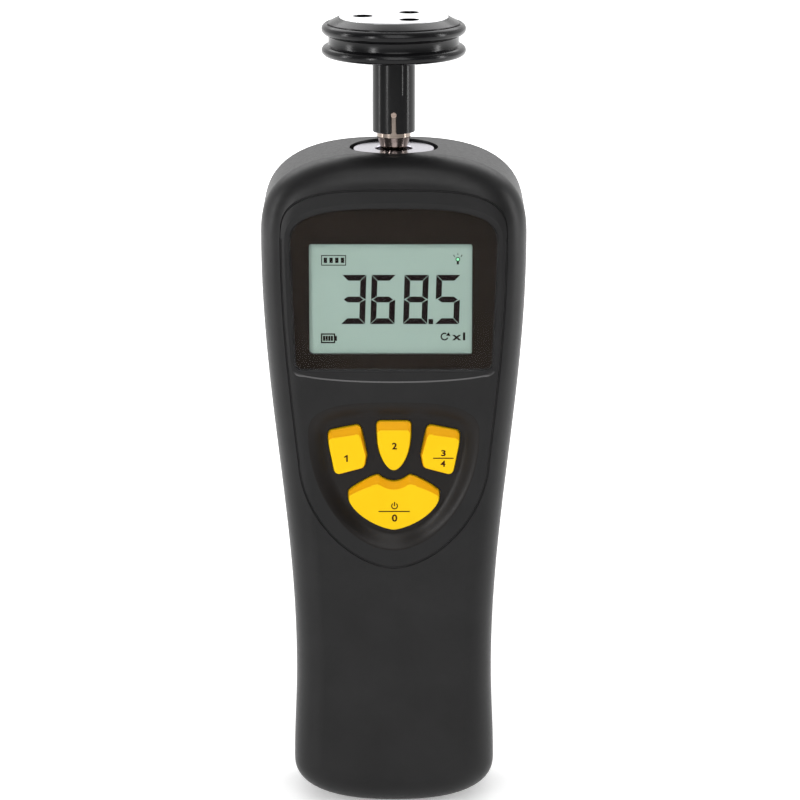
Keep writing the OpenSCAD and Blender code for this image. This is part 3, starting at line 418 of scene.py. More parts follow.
def finish_effect(tree, given, out, mask, other, relief, span, strength, distance):
    """Ends an effect: mask mixes its two colours, and relief gives its gloss, over span, and its bumps."""
    colour = node(tree, "Mix", [(0, mask.outputs["Result"]), (6, given.outputs["Colour"]),
                                (7, given.outputs[other])], data_type="RGBA")
    gloss = node(tree, "MapRange", [("Value", relief), ("From Min", span[0]), ("From Max", span[1]),
                                    ("To Min", given.outputs["Gloss Low"]),
                                    ("To Max", given.outputs["Gloss High"])])
    bump = node(tree, "Bump", [("Strength", given.outputs[strength]), ("Distance", distance),
                               ("Height", relief)])
    tree.links.new(colour.outputs[2], out.inputs["Colour"])
    tree.links.new(gloss.outputs["Result"], out.inputs["Roughness"])
    tree.links.new(bump.outputs["Normal"], out.inputs["Normal"])
    return tree


def moulded_skin():
    """Spark-eroded mould texture: two sizes of grain, with a slow drift of tone and gloss."""
    tree, given, out = new_group("moulded_skin", ["Colour", "Worn Colour"],
                                 ["Grain Scale", "Grain Height", "Gloss Low", "Gloss High"])
    place = node(tree, "TexCoord").outputs["Object"]
    grain = node(tree, "TexNoise", [("Vector", place), ("Scale", given.outputs["Grain Scale"]),
                                    ("Detail", 2.0), ("Roughness", 0.6)])
    coarse = node(tree, "TexNoise", [("Vector", place), ("Scale", 900.0), ("Detail", 3.0)])
    drift = node(tree, "TexNoise", [("Vector", place), ("Scale", 55.0), ("Detail", 4.0)])
    tone = node(tree, "MapRange", [("Value", drift.outputs["Fac"]), ("From Min", 0.35), ("From Max", 0.7)])
    both = combined(tree, "ADD", grain.outputs["Fac"], coarse.outputs["Fac"])
    return finish_effect(tree, given, out, tone, "Worn Colour", both, (0.7, 1.3), "Grain Height", 0.00006)


def turned_lines():
    """Tool marks of a lathe: fine rings round the spindle axis."""
    tree, given, out = new_group("turned_lines", ["Colour", "Line Colour"],
                                 ["Lines", "Depth", "Gloss Low", "Gloss High"])
    split = node(tree, "SeparateXYZ", [("Vector", node(tree, "TexCoord").outputs["Object"])])
    flat = node(tree, "CombineXYZ", [("X", split.outputs["X"]), ("Y", split.outputs["Y"])])
    radius = node(tree, "VectorMath", [(0, flat.outputs[0])], operation="LENGTH")
    along = node(tree, "CombineXYZ", [("X", radius.outputs["Value"]), ("Z", split.outputs["Z"])])
    lines = node(tree, "TexNoise", [("Vector", along.outputs[0]), ("Scale", given.outputs["Lines"]),
                                    ("Detail", 2.0), ("Roughness", 0.7)])
    mask = node(tree, "MapRange", [("Value", lines.outputs["Fac"]), ("From Min", 0.35), ("From Max", 0.65)])
    return finish_effect(tree, given, out, mask, "Line Colour", lines.outputs["Fac"], (0.3, 0.7), "Depth",
                         0.00002)


SKIN = moulded_skin()
LATHE = turned_lines()


# ---- Materials

def finish(name, group, given, metallic, specular=0.5):
    """A material whose colour, gloss and relief come from a shared effect."""
    material = bpy.data.materials.new(name)
    material.use_nodes = True
    tree = material.node_tree
    shader = tree.nodes["Principled BSDF"]
    effect = node(tree, "Group", given.items(), node_tree=group)
    for output, socket in (("Colour", "Base Color"), ("Roughness", "Roughness"), ("Normal", "Normal")):
        tree.links.new(effect.outputs[output], shader.inputs[socket])
    shader.inputs["Metallic"].default_value = metallic
    shader.inputs["Specular IOR Level"].default_value = specular
    material.diffuse_color = given["Colour"]
    return material


def plastic(name, colour, worn, low, high, scale=3200, height=0.1, specular=0.5, metallic=0.0):
    """Moulded plastic or rubber, with a gloss between low and high; also used for paint and ink."""
    return finish(name, SKIN, {"Colour": (*colour, 1), "Worn Colour": (*worn, 1), "Grain Scale": scale,
                               "Grain Height": height, "Gloss Low": low, "Gloss High": high},
                  metallic, specular)


def metal(name, colour, line, low, high, lines=2600, depth=0.2):
    """Turned metal, with a gloss between low and high."""
    return finish(name, LATHE, {"Colour": (*colour, 1), "Line Colour": (*line, 1), "Lines": lines,
                                "Depth": depth, "Gloss Low": low, "Gloss High": high}, 1.0)


# What the photo shows, then the display, then what lies inside
shell_plastic = plastic("shell_plastic", (0.0042, 0.004, 0.0043), (0.0085, 0.0083, 0.0087), 0.34, 0.44,
                        height=0.16, specular=0.33)
rear_plastic = plastic("rear_plastic", (0.0108, 0.0106, 0.011), (0.0138, 0.0136, 0.0141), 0.36, 0.48,
                       height=0.2, specular=0.3)
bowl_plastic = plastic("bowl_plastic", (0.0075, 0.006, 0.0055), (0.0105, 0.0085, 0.0075), 0.3, 0.38,
                       height=0.03, specular=0.24)
# Painted highlight: a lighter grey with more gloss, for the sloped ridge below the lens
ridge_painted_highlight = plastic("ridge_painted_highlight", (0.03, 0.029, 0.03), (0.045, 0.043, 0.044), 0.2, 0.28, height=0.02,
                       specular=0.6)
key_plastic = plastic("key_plastic", (0.84, 0.53, 0.004), (0.87, 0.56, 0.006), 0.38, 0.5, height=0.05,
                      specular=0.1)
# Painted shade: a darker orange copy of the key yellow, for the keys' upper and inner flanks
key_painted_shade = plastic("key_painted_shade", (0.74, 0.34, 0.002), (0.78, 0.37, 0.003), 0.38, 0.5, height=0.05,
                    specular=0.1)
key_print = plastic("key_print", (0.03, 0.003, 0.004), (0.045, 0.006, 0.006), 0.5, 0.6, specular=0.05)
hub_plastic = plastic("hub_plastic", (0.003, 0.003, 0.0034), (0.0045, 0.0045, 0.005), 0.16, 0.22, height=0.04,
                      specular=0.24)
tyre_rubber = plastic("tyre_rubber", (0.004, 0.004, 0.0046), (0.006, 0.0058, 0.0062), 0.18, 0.26, scale=2600,
                      height=0.06, specular=0.32)
print_ink = plastic("print_ink", (0.0095, 0.0068, 0.005), (0.011, 0.0078, 0.0056), 0.3, 0.36, height=0.02,
                    specular=0.05)
lcd_plate = plastic("lcd_plate", (0.245, 0.325, 0.285), (0.256, 0.338, 0.297), 0.5, 0.6, scale=5200,
                    height=0.03, specular=0.1)
lcd_ink = plastic("lcd_ink", (0.006, 0.003, 0.003), (0.008, 0.004, 0.004), 0.5, 0.6, specular=0.05)
lcd_lamp = plastic("lcd_lamp", (0.25, 0.75, 0.4), (0.3, 0.8, 0.45), 0.5, 0.6, specular=0.1)
frame_white = plastic("frame_white", (0.68, 0.68, 0.66), (0.72, 0.72, 0.7), 0.4, 0.5)
zebra_rubber = plastic("zebra_rubber", (0.6, 0.28, 0.32), (0.68, 0.34, 0.38), 0.5, 0.6)
board_resist = plastic("board_resist", (0.012, 0.12, 0.05), (0.016, 0.15, 0.065), 0.28, 0.4, scale=1500)
chip_epoxy = plastic("chip_epoxy", (0.018, 0.018, 0.019), (0.028, 0.028, 0.03), 0.45, 0.6, scale=4200,
                     height=0.2)
mat_rubber = plastic("mat_rubber", (0.045, 0.045, 0.047), (0.06, 0.06, 0.062), 0.55, 0.7)
block_plastic = plastic("block_plastic", (0.06, 0.06, 0.063), (0.085, 0.085, 0.09), 0.42, 0.6, scale=1800,
                        height=0.25)
ribbon_grey = plastic("ribbon_grey", (0.34, 0.34, 0.36), (0.42, 0.42, 0.44), 0.4, 0.5)
lead_sleeve = plastic("lead_sleeve", (0.42, 0.02, 0.014), (0.5, 0.03, 0.02), 0.42, 0.5)
cell_wrap = plastic("cell_wrap", (0.07, 0.1, 0.24), (0.09, 0.13, 0.3), 0.22, 0.34)
screw_black = plastic("screw_black", (0.02, 0.02, 0.021), (0.05, 0.05, 0.052), 0.3, 0.5, scale=1800,
                      metallic=0.6)
disc_black = plastic("disc_black", (0.02, 0.02, 0.022), (0.03, 0.03, 0.032), 0.35, 0.5)
collar_metal = metal("collar_metal", (0.5, 0.48, 0.53), (0.6, 0.58, 0.63), 0.16, 0.26, lines=1500)
spindle_chrome = metal("spindle_chrome", (0.25, 0.205, 0.175), (0.31, 0.26, 0.225), 0.07, 0.14, lines=3500,
                       depth=0.08)
pin_steel = metal("pin_steel", (0.4, 0.3, 0.25), (0.55, 0.44, 0.38), 0.25, 0.4)
steel = metal("steel", (0.6, 0.6, 0.61), (0.68, 0.68, 0.69), 0.18, 0.3)
brass = metal("brass", (0.7, 0.5, 0.2), (0.8, 0.6, 0.28), 0.2, 0.34)
contact_metal = metal("contact_metal", (0.66, 0.64, 0.6), (0.74, 0.72, 0.68), 0.22, 0.36)
face_metal = metal("face_metal", (0.9, 0.9, 0.91), (0.96, 0.96, 0.97), 0.3, 0.42, lines=1900, depth=0.3)


def clear_glass(name, colour, ior, roughness):
    """Clear plastic with faint marks, which casts no shadow on what lies behind it."""
    material = bpy.data.materials.new(name)
    material.use_nodes = True
    tree = material.node_tree
    shader = tree.nodes["Principled BSDF"]
    marks = node(tree, "TexNoise", [("Vector", node(tree, "TexCoord").outputs["Object"]), ("Scale", 160.0),
                                    ("Detail", 3.0)])
    gloss = node(tree, "MapRange", [("Value", marks.outputs["Fac"]), ("From Min", 0.4), ("From Max", 0.7),
                                    ("To Min", roughness), ("To Max", roughness + 0.03)])
    tree.links.new(gloss.outputs["Result"], shader.inputs["Roughness"])
    shader.inputs["Base Color"].default_value = (*colour, 1)
    shader.inputs["Transmission Weight"].default_value = 1.0
    shader.inputs["IOR"].default_value = ior
    mixed = node(tree, "MixShader", [(0, node(tree, "LightPath").outputs["Is Shadow Ray"]),
                                     (1, shader.outputs[0]), (2, node(tree, "BsdfTransparent").outputs[0])])
    tree.links.new(mixed.outputs[0], tree.nodes["Material Output"].inputs["Surface"])
    return material


lens_clear = clear_glass("lens_clear", (1, 1, 1), 1.1, 0.01)

# Finishes of the solids that are shown as they come
for material, names in [
        (steel, ["bearing_outer_races", "bearing_inner_races", "bearing_balls", "retaining_clip",
                 "board_screws", "block_screws", "sensor_screws"]),
        (brass, ["bearing_cages", "spacer_sleeve", "disc_hub"]), (pin_steel, ["drive_pin"]),
        (contact_metal, ["battery_springs", "battery_plates"]), (lead_sleeve, ["battery_leads"]),
        (cell_wrap, ["batteries"]), (board_resist, ["main_board", "sensor_board"]),
        (chip_epoxy, ["board_chips", "photo_interrupter"]), (ribbon_grey, ["sensor_ribbon"]),
        (frame_white, ["lcd_frame"]), (zebra_rubber, ["zebra_strip"]), (mat_rubber, ["key_mat"]),
        (block_plastic, ["bearing_block"]), (disc_black, ["encoder_disc"]), (screw_black, ["case_screws"])]:
    for name in names:
        paint(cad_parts[name].data, material)


# ---- Front shell

def groove_tool():
    """A thin bead that follows the panel line over the flat and the rounded part of the front."""
    bead, sunk, sides = 0.32, 0.06, 10

    def depth(x, z):
        inset = body_half(z) - abs(x)
        if z > HEAD_Z:
            lift = (z - HEAD_Z) / (BODY_H - HEAD_Z)
            inset = min(inset, (1 - ((abs(x) / (HEAD_W / 2)) ** 2.75 + lift ** 2.75) ** (1 / 2.75)) * 30)
        short = max(FRONT_R - inset, 0)
        return FRONT_R - sqrt(max(FRONT_R ** 2 - short ** 2, 0))

    path = both_sides(panel_half(0.2))
    rings = []
    for i, (x, z) in enumerate(path):
        before, after = path[i - 1], path[(i + 1) % len(path)]
        along = Vector((after[0] - before[0], after[1] - before[1])).normalized()
        across = (along.y, -along.x)
        y = FRONT_Y + depth(x, z)
        rings.append([(x + across[0] * bead * cos(a), y - sunk + bead * 1.15 * sin(a),
                       z + across[1] * bead * cos(a)) for a in [tau * k / sides for k in range(sides)]])
    return tidy(loft("groove_tool", rings + [rings[0]], closed=False))


def bowl_tool():
    """The keypad bowl: a soft rim, a long slope that is steeper at the top, and a flat floor."""
    depth, reach, rim, above, levels = 2.0, 5.0, 0.5, 0.05, 14
    rings = []
    for k in range(levels + 1):
        t = k / levels
        rings.append([(x, FRONT_Y - above + (depth + above) * (t * t * (3 - 2 * t)), z)
                      for x, z in both_sides(bowl_half(-rim + (reach + rim) * t))])
    top = [(x, FRONT_Y - 1.5, z) for x, z in both_sides(bowl_half(-0.9))]
    return loft("bowl_tool", [top] + rings)


def side_key_points():
    """The right key's corners, as shares of the bowl's width and height."""
    corners = [(0.1957, 0.1544), (0.3851, 0.1971), (0.3809, 0.2874), (0.3447, 0.4917), (0.1702, 0.4394),
               (0.1574, 0.3587)]
    return [(BOWL_W * a, BOWL_TOP_Z - BOWL_H * b) for a, b in corners]


def middle_key_points():
    half = [(4.75, 111.9), (4.68, 109.4)]
    half += [(x, 107.4 - z) for x, z in [quarter(4.62, 9.2, 1.8, pi / 2 * k / 14) for k in range(14)]]
    return half + [(0, 98.2)] + [(-x, z) for x, z in reversed(half)]


def power_key_points():
    half = [(x, 94.8 + 0.1 * x * x) for x in (0, 0.9, 1.8, 2.7, 3.4)]
    half += [(4.35, 96.75), (6.4, 96.0), (8.4, 94.95), (10.6, 93.6), (12.5, 92.2), (12.5, 90.0)]
    foot = [quarter(12.5, 8.75, 1.52, pi / 2 * k / 16) for k in range(1, 16)]
    half += [(x, 90.0 - z) for x, z in foot]
    return half + [(0, 81.25)] + [(-x, z) for x, z in reversed(half[1:])]


def grown(points, d):
    """The outline moved outwards by d."""
    n, made = len(points), []
    run = copysign(1, sum(points[i][0] * points[(i + 1) % n][1] - points[(i + 1) % n][0] * points[i][1]
                          for i in range(n)))
    for i in range(n):
        b = Vector(points[i])
        u, v = (b - Vector(points[i - 1])).normalized(), (Vector(points[(i + 1) % n]) - b).normalized()
        m = (u + v).normalized()
        made.append(tuple(b + Vector((m.y, -m.x)) * (run * d / m.dot(u))))
    return made


KEY_OUTLINES = {
    "key_left": rounded([(-x, z) for x, z in reversed(side_key_points())], 1.4),
    "key_middle": rounded(middle_key_points(), 1.1),
    "key_right": rounded(side_key_points(), 1.4),
    "key_power": rounded(power_key_points(), 1.1)}


def smile_tool():
    """The hollow below the lens, with the sloped wall that makes the ridge."""
    w = LENS_FOOT_W / 2
    points = [(w, LENS_Z + 2.2), (-w, LENS_Z + 2.2)]
    points += [(-w * cos(pi * k / 40), LENS_Z - 3 * sin(pi * k / 40)) for k in range(41)]
    return loft("smile", [[(x, FRONT_Y + sunk, z) for x, z in grown(points, wider)]
                          for wider, sunk in ((0.42, -1), (0.4, -0.02), (0.0, 0.24))])


def surround_tool():
    """The sloped frame round the lens."""
    return loft("surround", [[(x, FRONT_Y + sunk, z) for x, z in both_sides(lens_half(-wider))]
                             for wider, sunk in ((1.78, -1), (1.75, -0.02), (1.6, 0.06), (1.35, 0.19),
                                                 (0.05, 0.26), (-1.5, 0.28))])


def front_shell():
    """The tools come in an order that the exact booleans stand; the surround has to be the last."""
    step_d = WALL / 2 - 0.1
    shell = loft("front_shell_moulding", [ring(0.3, PARTING_Y), ring(0, PARTING_Y - 0.28)]
                 + [ring(0, FRONT_Y + FRONT_R + (PARTING_Y - FRONT_Y - FRONT_R) * k / 3) for k in (2, 1)]
                 + edge_rings(FRONT_Y, FRONT_R, 0, 1, 14))
    hollow = loft("hollow", [ring(WALL, PARTING_Y + 1)] + edge_rings(FRONT_IN_Y, FRONT_R - WALL, WALL, 1, 6))
    bored(shell, hollow, loft("step", [ring(step_d, PARTING_Y - 1.6), ring(step_d, PARTING_Y + 1)]))
    posts = [rod_y("post", x, z, d, FRONT_IN_Y - 1, end, 32) for places, d, end in POSTS for x, z in places]
    posts.append(plate("bowl_back", both_sides(bowl_half(-1.2)), FRONT_IN_Y - 1.2, -15.2))
    neck = rod_z("neck", 0, 0, 28.4, LEDGE_Z - 3.2, COLLAR_Z - 0.05, 96)
    bored(neck, block("trim", (-20, -30, 170), (20, FRONT_IN_Y, 190)),
          block("trim", (-20, 12.3, 170), (20, 30, 190)))
    bored(shell, *posts, neck, join=True)
    window = rounded(rectangle(WINDOW_W, WINDOW_Z, WINDOW_Z + WINDOW_H), 1.2)
    tools = [plate("lens_seat", both_sides(lens_half(-0.12)), FRONT_Y - 1, FRONT_Y + LENS_T),
             plate("window", window, FRONT_Y - 2, FRONT_IN_Y + 1), bowl_tool()]
    tools += [plate("key_hole", grown(k, KEY_GAP), FRONT_Y - 1, -14) for k in KEY_OUTLINES.values()]
    tools.append(smile_tool())
    tools += [rod_y("bore", x, z, d, y0, y1, 24) for places, d, y0, y1 in BORES for x, z in places]
    return bored(shell, *tools, rod_z("collar_seat", 0, 0, 24.3, LEDGE_Z, 190, 128),
                 rod_z("block_seat", 0, 0, 20, 176, 190, 96), groove_tool(), surround_tool())


shell = smooth(tidy(front_shell()), 32)
fitted(shell, "housing", "shell_plastic", shell_plastic, "front_shell")


def second_finish(obj, material, wanted):
    """Gives the faces for which wanted(centre, normal) holds, in millimetres, a finish of their own."""
    obj.data.materials.append(material)
    bm = edit(obj, "FACE", "DESELECT")
    for face in bm.faces:
        face.select_set(wanted(face.calc_center_median() / MM, face.normal))
    obj.active_material_index = len(obj.data.materials) - 1
    bpy.ops.object.material_slot_assign()
    return done(obj)


def in_bowl(c, n):
    """The slope and floor of the bowl."""
    h, share = (BOWL_TOP_Z - BOWL_WIDE_Z, 3) if c.z > BOWL_WIDE_Z else (BOWL_WIDE_Z - BOWL_FOOT_Z, 1.9)
    inside = (abs(c.x) / (BOWL_W / 2)) ** share + (abs(c.z - BOWL_WIDE_Z) / h) ** share < 1
    return inside and FRONT_Y < c.y < FRONT_Y + 2.2 and n.y < 0.1


second_finish(shell, bowl_plastic, in_bowl)


def on_ridge(c, n):
    """The sloped ridge that runs below the lens, glossier and painted lighter as a painted highlight."""
    return LENS_Z - 4 < c.z < LENS_Z and FRONT_Y < c.y < FRONT_Y + 0.25 and n.z > 0.15 and n.y < -0.5


# The ridge below the lens takes the painted highlight
second_finish(shell, ridge_painted_highlight, on_ridge)


# ---- Rear shell and battery cover

LIP_D, LIP_H = WALL / 2, 1.5
TRAY_HALF, TRAY_WALL, TRAY_Z, TRAY_IN_Z, TRAY_TOP_Z, TRAY_Y = 21.65, 1.4, 16.0, 17.4, 67.1, 5.7
COVER_HALF, COVER_Z0, COVER_Z1, COVER_GAP = 22.75, 12.8, 70.3, 0.2
TAB_X, GRIPS = 13.0, [64.3 - 2.2 * k for k in range(4)]


def cover_points(gap):
    return rounded(rectangle(2 * (COVER_HALF + gap), COVER_Z0 - gap, COVER_Z1 + gap), 2.5)


def rear_shell():
    """The back of the case, with its lip, its screw bosses and the battery tray."""
    shell = loft("rear_shell_moulding", [ring(0.3, PARTING_Y), ring(0, PARTING_Y + 0.28)]
                 + edge_rings(BACK_Y, BACK_R, 0, -1, 10)[1:])
    inner = [rod_y("boss", x, z, 7.6, PARTING_Y, BACK_Y - 1.2, 40) for x, z in CASE_SCREWS]
    inner.append(block("tray", (-TRAY_HALF - TRAY_WALL, TRAY_Y - TRAY_WALL, TRAY_Z),
                       (TRAY_HALF + TRAY_WALL, BACK_IN_Y + 0.2, TRAY_TOP_Z + TRAY_WALL)))
    bored(shell, loft("lip", [ring(LIP_D, PARTING_Y - LIP_H), ring(LIP_D, PARTING_Y + LIP_D)]), join=True)
    bored(shell, loft("hollow", [ring(WALL, PARTING_Y - LIP_H - 1)]
                      + edge_rings(BACK_IN_Y, BACK_R - WALL, WALL, -1, 6)))
    bored(shell, *inner, join=True)
    tools = [block("cells", (-TRAY_HALF, TRAY_Y, TRAY_IN_Z), (TRAY_HALF, BACK_Y + 1, TRAY_TOP_Z)),
             plate("cover_seat", cover_points(COVER_GAP), BACK_IN_Y, BACK_Y + 1)]
    tools += [block("tab_slot", (x - 1.3, 10.85, 66.5), (x + 1.3, 11.45, 71.2)) for x in (-16.2, 16.2)]
    for x, z in CASE_SCREWS:
        tools += [rod_y("bore", x, z, 2.8, PARTING_Y - 1, BACK_Y + 1, 32),
                  rod_y("recess", x, z, 5.6, 15.6, BACK_Y + 1, 48)]
    return bored(shell, *tools)


rear = smooth(tidy(rear_shell()), 32)
fitted(rear, "housing", "rear_plastic", rear_plastic, "rear_shell")


def battery_cover():
    cover = plate("battery_cover_moulding", cover_points(0), BACK_IN_Y, BACK_Y + 1)
    outer = loft("outer", [ring(0, PARTING_Y)] + edge_rings(BACK_Y, BACK_R, 0, -1, 10))
    modify(cover, "BOOLEAN", object=outer, operation="INTERSECT", solver="EXACT")
    bpy.data.objects.remove(outer)
    softened(cover, 0.25, 2, 50)
    grips = [plate("grip", rounded([(-8, z), (8, z), (8, z + 1), (-8, z + 1)], 0.4), BACK_Y - 0.5, BACK_Y + 1)
             for z in GRIPS]
    bored(cover, *grips)
    # Each lower tab: the tongue that goes under the shell's edge, and the foot that holds it to the cover
    tabs = [block("tab", (x - 3, BACK_IN_Y - 1.35, COVER_Z0 + z0), (x + 3, BACK_IN_Y + y1, COVER_Z0 + 1))
            for x in (-TAB_X, TAB_X) for z0, y1 in ((-2.4, -0.15), (0.2, 0.15))]
    return bored(cover, *tabs, join=True)


cover = smooth(tidy(battery_cover()), 32)
fitted(cover, "battery_cover", "rear_plastic", rear_plastic, "battery_cover")


# ---- Display: clear lens, printed border behind it, glass with its figures

lens = plate("lens_plate", both_sides(lens_half(0, 24)), FRONT_Y - 0.1, FRONT_Y + LENS_T - 0.1)
softened(tidy(lens), 0.22, 3, 50)
fitted(smooth(lens, 30), "housing", "lens", lens_clear, "display_lens")

WINDOW = [(-23.0, 130.8), (21.3, 130.8), (21.3, 161.4), (-23.0, 161.4)]
border = plate("lens_print", both_sides(lens_half(0.35, 24)), FRONT_Y + LENS_T - 0.09,
               FRONT_Y + LENS_T - 0.03)
bored(border, plate("view", rounded(WINDOW, 0.6), FRONT_Y, FRONT_Y + 4))
fitted(smooth(tidy(border), 30), "housing", "lens", print_ink)

glass = block("display_glass", (-24, GLASS_Y, 129.8), (24, GLASS_Y + GLASS_T, 164.2))
bored(glass, block("ledge", (-25, GLASS_Y + 1.5, 129), (25, -13, 131.4)))
softened(glass, 0.12, 2)
fitted(smooth(tidy(glass), 30), "housing", "lcd", lcd_plate, "lcd_glass")


SEGMENTS = {"0": "abcdef", "1": "bc", "2": "abged", "3": "abgcd", "4": "fgbc", "5": "afgcd", "6": "afgedc",
            "7": "abc", "8": "abcdefg", "9": "abcdfg"}


def digit_shapes(digit, x0, z0, w, h, t=1.6, slant=0.03, gap=0.1):
    """The lit segments of one figure, with mitred ends and thin gaps between them."""
    m, c = h / 2, t / 2
    bars = {
        "a": [(gap, h), (w - gap, h), (w - t - gap, h - t), (t + gap, h - t)],
        "d": [(t + gap, t), (w - t - gap, t), (w - gap, 0), (gap, 0)],
        "f": [(0, h - gap), (t, h - t - gap), (t, m + c + gap), (c * 0.2, m + gap), (0, m + gap + 0.1)],
        "e": [(0, m - gap - 0.1), (c * 0.2, m - gap), (t, m - c - gap), (t, t + gap), (0, gap)],
        "g": [(gap + c * 0.6, m), (t + gap, m + c), (w - t - gap, m + c), (w - gap - c * 0.6, m),
              (w - t - gap, m - c), (t + gap, m - c)]}
    bars["b"] = [(w - x, z) for x, z in reversed(bars["f"])]
    bars["c"] = [(w - x, z) for x, z in reversed(bars["e"])]
    return [[(x0 + x + slant * (z - h / 2), z0 + z) for x, z in bars[k]] for k in SEGMENTS[digit]]


def disc_points(x, z, r, n=20):
    return [(x + r * cos(tau * k / n), z + r * sin(tau * k / n)) for k in range(n)]


def bar(x0, z0, x1, z1):
    return [(x0, z0), (x1, z0), (x1, z1), (x0, z1)]


def hollow_bar(x0, z0, x1, z1, t):
    return [bar(x0, z0, x1, z0 + t), bar(x0, z1 - t, x1, z1), bar(x0, z0 + t, x0 + t, z1 - t),
            bar(x1 - t, z0 + t, x1, z1 - t)]


LAMP_AT = (17.4, 157.0)


def display_shapes():
    """All that the display shows in dark: 368.5, and its signs in the four corners."""
    made = []
    for digit, x0 in zip("3685", (-14.23, -6.19, 2.73, 11.4)):
        made += digit_shapes(digit, x0, 139.0, 6.6, 13.68)
    made.append(bar(9.45, 138.98, 10.75, 140.4))
    # Four bars in a frame
    made += hollow_bar(-19.69, 155.27, -12.94, 158.15, 0.22)
    made += [bar(-19.0 + 1.55 * k, 156.0, -18.1 + 1.55 * k, 157.45) for k in range(4)]
    # Battery sign: its case, its tip and four bars
    made += hollow_bar(-19.88, 133.63, -16.0, 136.38, 0.36) + [bar(-16.0, 134.3, -15.5, 135.7)]
    made += [bar(-19.3 + 0.71 * k, 134.3, -18.72 + 0.71 * k, 135.7) for k in range(4)]
    # Lamp sign: a bulb, its cap and three rays
    x, z = LAMP_AT
    made += [disc_points(x, z, 0.62), bar(x - 0.3, z - 1.4, x + 0.3, z - 0.6),
             bar(x - 0.1, z + 1.2, x + 0.1, z + 1.7)]
    ray = [(0.75, 0.75), (0.9, 0.6), (1.25, 1.15), (1.1, 1.3)]
    made += [[(x + side * u, z + w) for u, w in ray][::side] for side in (-1, 1)]
    # Turning sign: an open ring with an arrow head
    x, z, outer, inner = 13.85, 135.5, 1.1, 0.72
    turn = [radians(60 + 280 * k / 16) for k in range(17)]
    made.append([(x + outer * cos(a), z + outer * sin(a)) for a in turn]
                + [(x + inner * cos(a), z + inner * sin(a)) for a in reversed(turn)])
    made.append([(14.2, 135.75), (15.5, 135.6), (14.95, 136.75)])
    return made


ink = [plate("display_figures", points, GLASS_Y - 0.05, GLASS_Y + 0.02) for points in display_shapes()]
fitted(joined("display_figures", ink), "housing", "lcd", lcd_ink)
fitted(plate("lamp_light", disc_points(*LAMP_AT, 0.4), GLASS_Y - 0.06, GLASS_Y), "housing", "lcd", lcd_lamp)


# ---- Keys

def key(name, points):
    """A key: flange behind the bowl, straight stem, and a soft-edged face whose upper edge slopes back."""
    xs, zs = [p[0] for p in points], [p[1] for p in points]
    cx, cz, top = (min(xs) + max(xs)) / 2, (min(zs) + max(zs)) / 2, max(zs)

    def at(p, inset, slope, y):
        away = (Vector((cx, cz)) - Vector(p)).normalized()
        return (p[0] + away.x * inset, y, p[1] + away.y * inset - slope * max(0, (p[1] - cz) / (top - cz)))

    # The wall draws in and leans back over the share "flank" of its rise, then rolls softly into the face
    draft, lean, flank, soft, roll = 0.3, 2.2, 0.78, 0.45, 0.35
    # Drawn in and leant back at the flank's end, and the rest of the rise
    drawn, leant, rest = 0.234, 1.716, 0.22
    rings = [[(x, FLANGE_Y + FLANGE_T, z) for x, z in points], [(x, KEY_Y + KEY_RISE, z) for x, z in points]]
    for k in range(1, 5):
        t = k / 4 * flank
        rings.append([at(p, draft * t, lean * t, KEY_Y + KEY_RISE * (1 - t)) for p in points])
    for k in range(1, 6):
        a = pi / 2 * k / 5
        t, turn = flank + rest * sin(a), 1 - cos(a)
        rings.append([at(p, drawn + soft * turn, leant + roll * turn, KEY_Y + KEY_RISE * (1 - t))
                      for p in points])
    cap = loft(name, rings)
    flange = plate("flange", grown(points, 0.8), FLANGE_Y, FLANGE_Y + FLANGE_T)
    stem = rod_y("stem", cx, cz, 5, FLANGE_Y, -13.2, 40)
    bored(cap, flange, stem, join=True)
    return smooth(tidy(cap), 40)


def on_shaded_flank(c, n):
    """The upper and inner flanks of a key, which turn away from the light and get a darker orange as painted
    shade.
    """
    return c.y < KEY_Y + KEY_RISE and n.y > -0.9 and (n.z > 0.2 or c.x * n.x < -0.2)


for name, points in KEY_OUTLINES.items():
    cap = fitted(key(name + "_moulding", points), name, "key_yellow", key_plastic, name)
    # Each key's upper and inner flanks take the painted shade
    second_finish(cap, key_painted_shade, on_shaded_flank)


# ---- Spindle and wheel

def bulge(z, half, start, end, n=14):
    """A rounded lip of the tyre: its section from angle start to angle end."""
    return [(18.0 + 1.7 * cos(a), z + half * sin(a))
            for a in [radians(start + (end - start) * k / n) for k in range(n + 1)]]


def tyre():
    """The rubber tyre: two lips with a groove between them."""
    profile = [(15.0, RIM_Z + 0.7), (15.0, RIM_TOP_Z - 0.35), (15.2, RIM_TOP_Z - 0.25), (17.7, 219.45),
               (17.9, 219.2), (17.95, 218.7)]
    profile += bulge(217.6, 1.6, 68, -80)
    profile += [(17.95, 215.75), (17.85, 215.5), (17.8, 214.6), (17.85, 213.6), (17.95, 213.35)]
    profile += bulge(211.75, 1.5, 80, -90)
    return turned("tyre_moulding", profile + [(15.4, RIM_Z + 0.5)], 160)


def face_holes():
    """The tools for the three holes."""
    return [rod_z("hole", FACE_HOLE_RUN * cos(a), FACE_HOLE_RUN * sin(a), FACE_HOLE_D, 200, 230, 48)
            for a in [radians(d) for d in (60, 180, 300)]]


def hub():
    """The hub: a socket for the shaft, with a slit that takes the cross pin, and the web behind the face."""
    socket_r, slit, floor_z = 4.71, 1.6, 204.4
    profile = [(0, floor_z), (socket_r, floor_z), (socket_r, HUB_Z + 0.3), (5.0, HUB_Z), (HUB_R - 0.2, HUB_Z),
               (HUB_R, HUB_Z + 0.2), (HUB_R, 208.5), (HUB_R + 0.25, 208.75), (12.0, RIM_Z), (FACE_R, 210.2),
               (FACE_R, WEB_Z), (0, WEB_Z)]
    tools = [block("slit", (-slit / 2, -12, 188), (slit / 2, 12, PIN_Z)),
             rod_y("slit_end", 0, PIN_Z, slit, -12, 12, 24)]
    return bored(turned("hub_moulding", profile, 96), *tools, *face_holes())


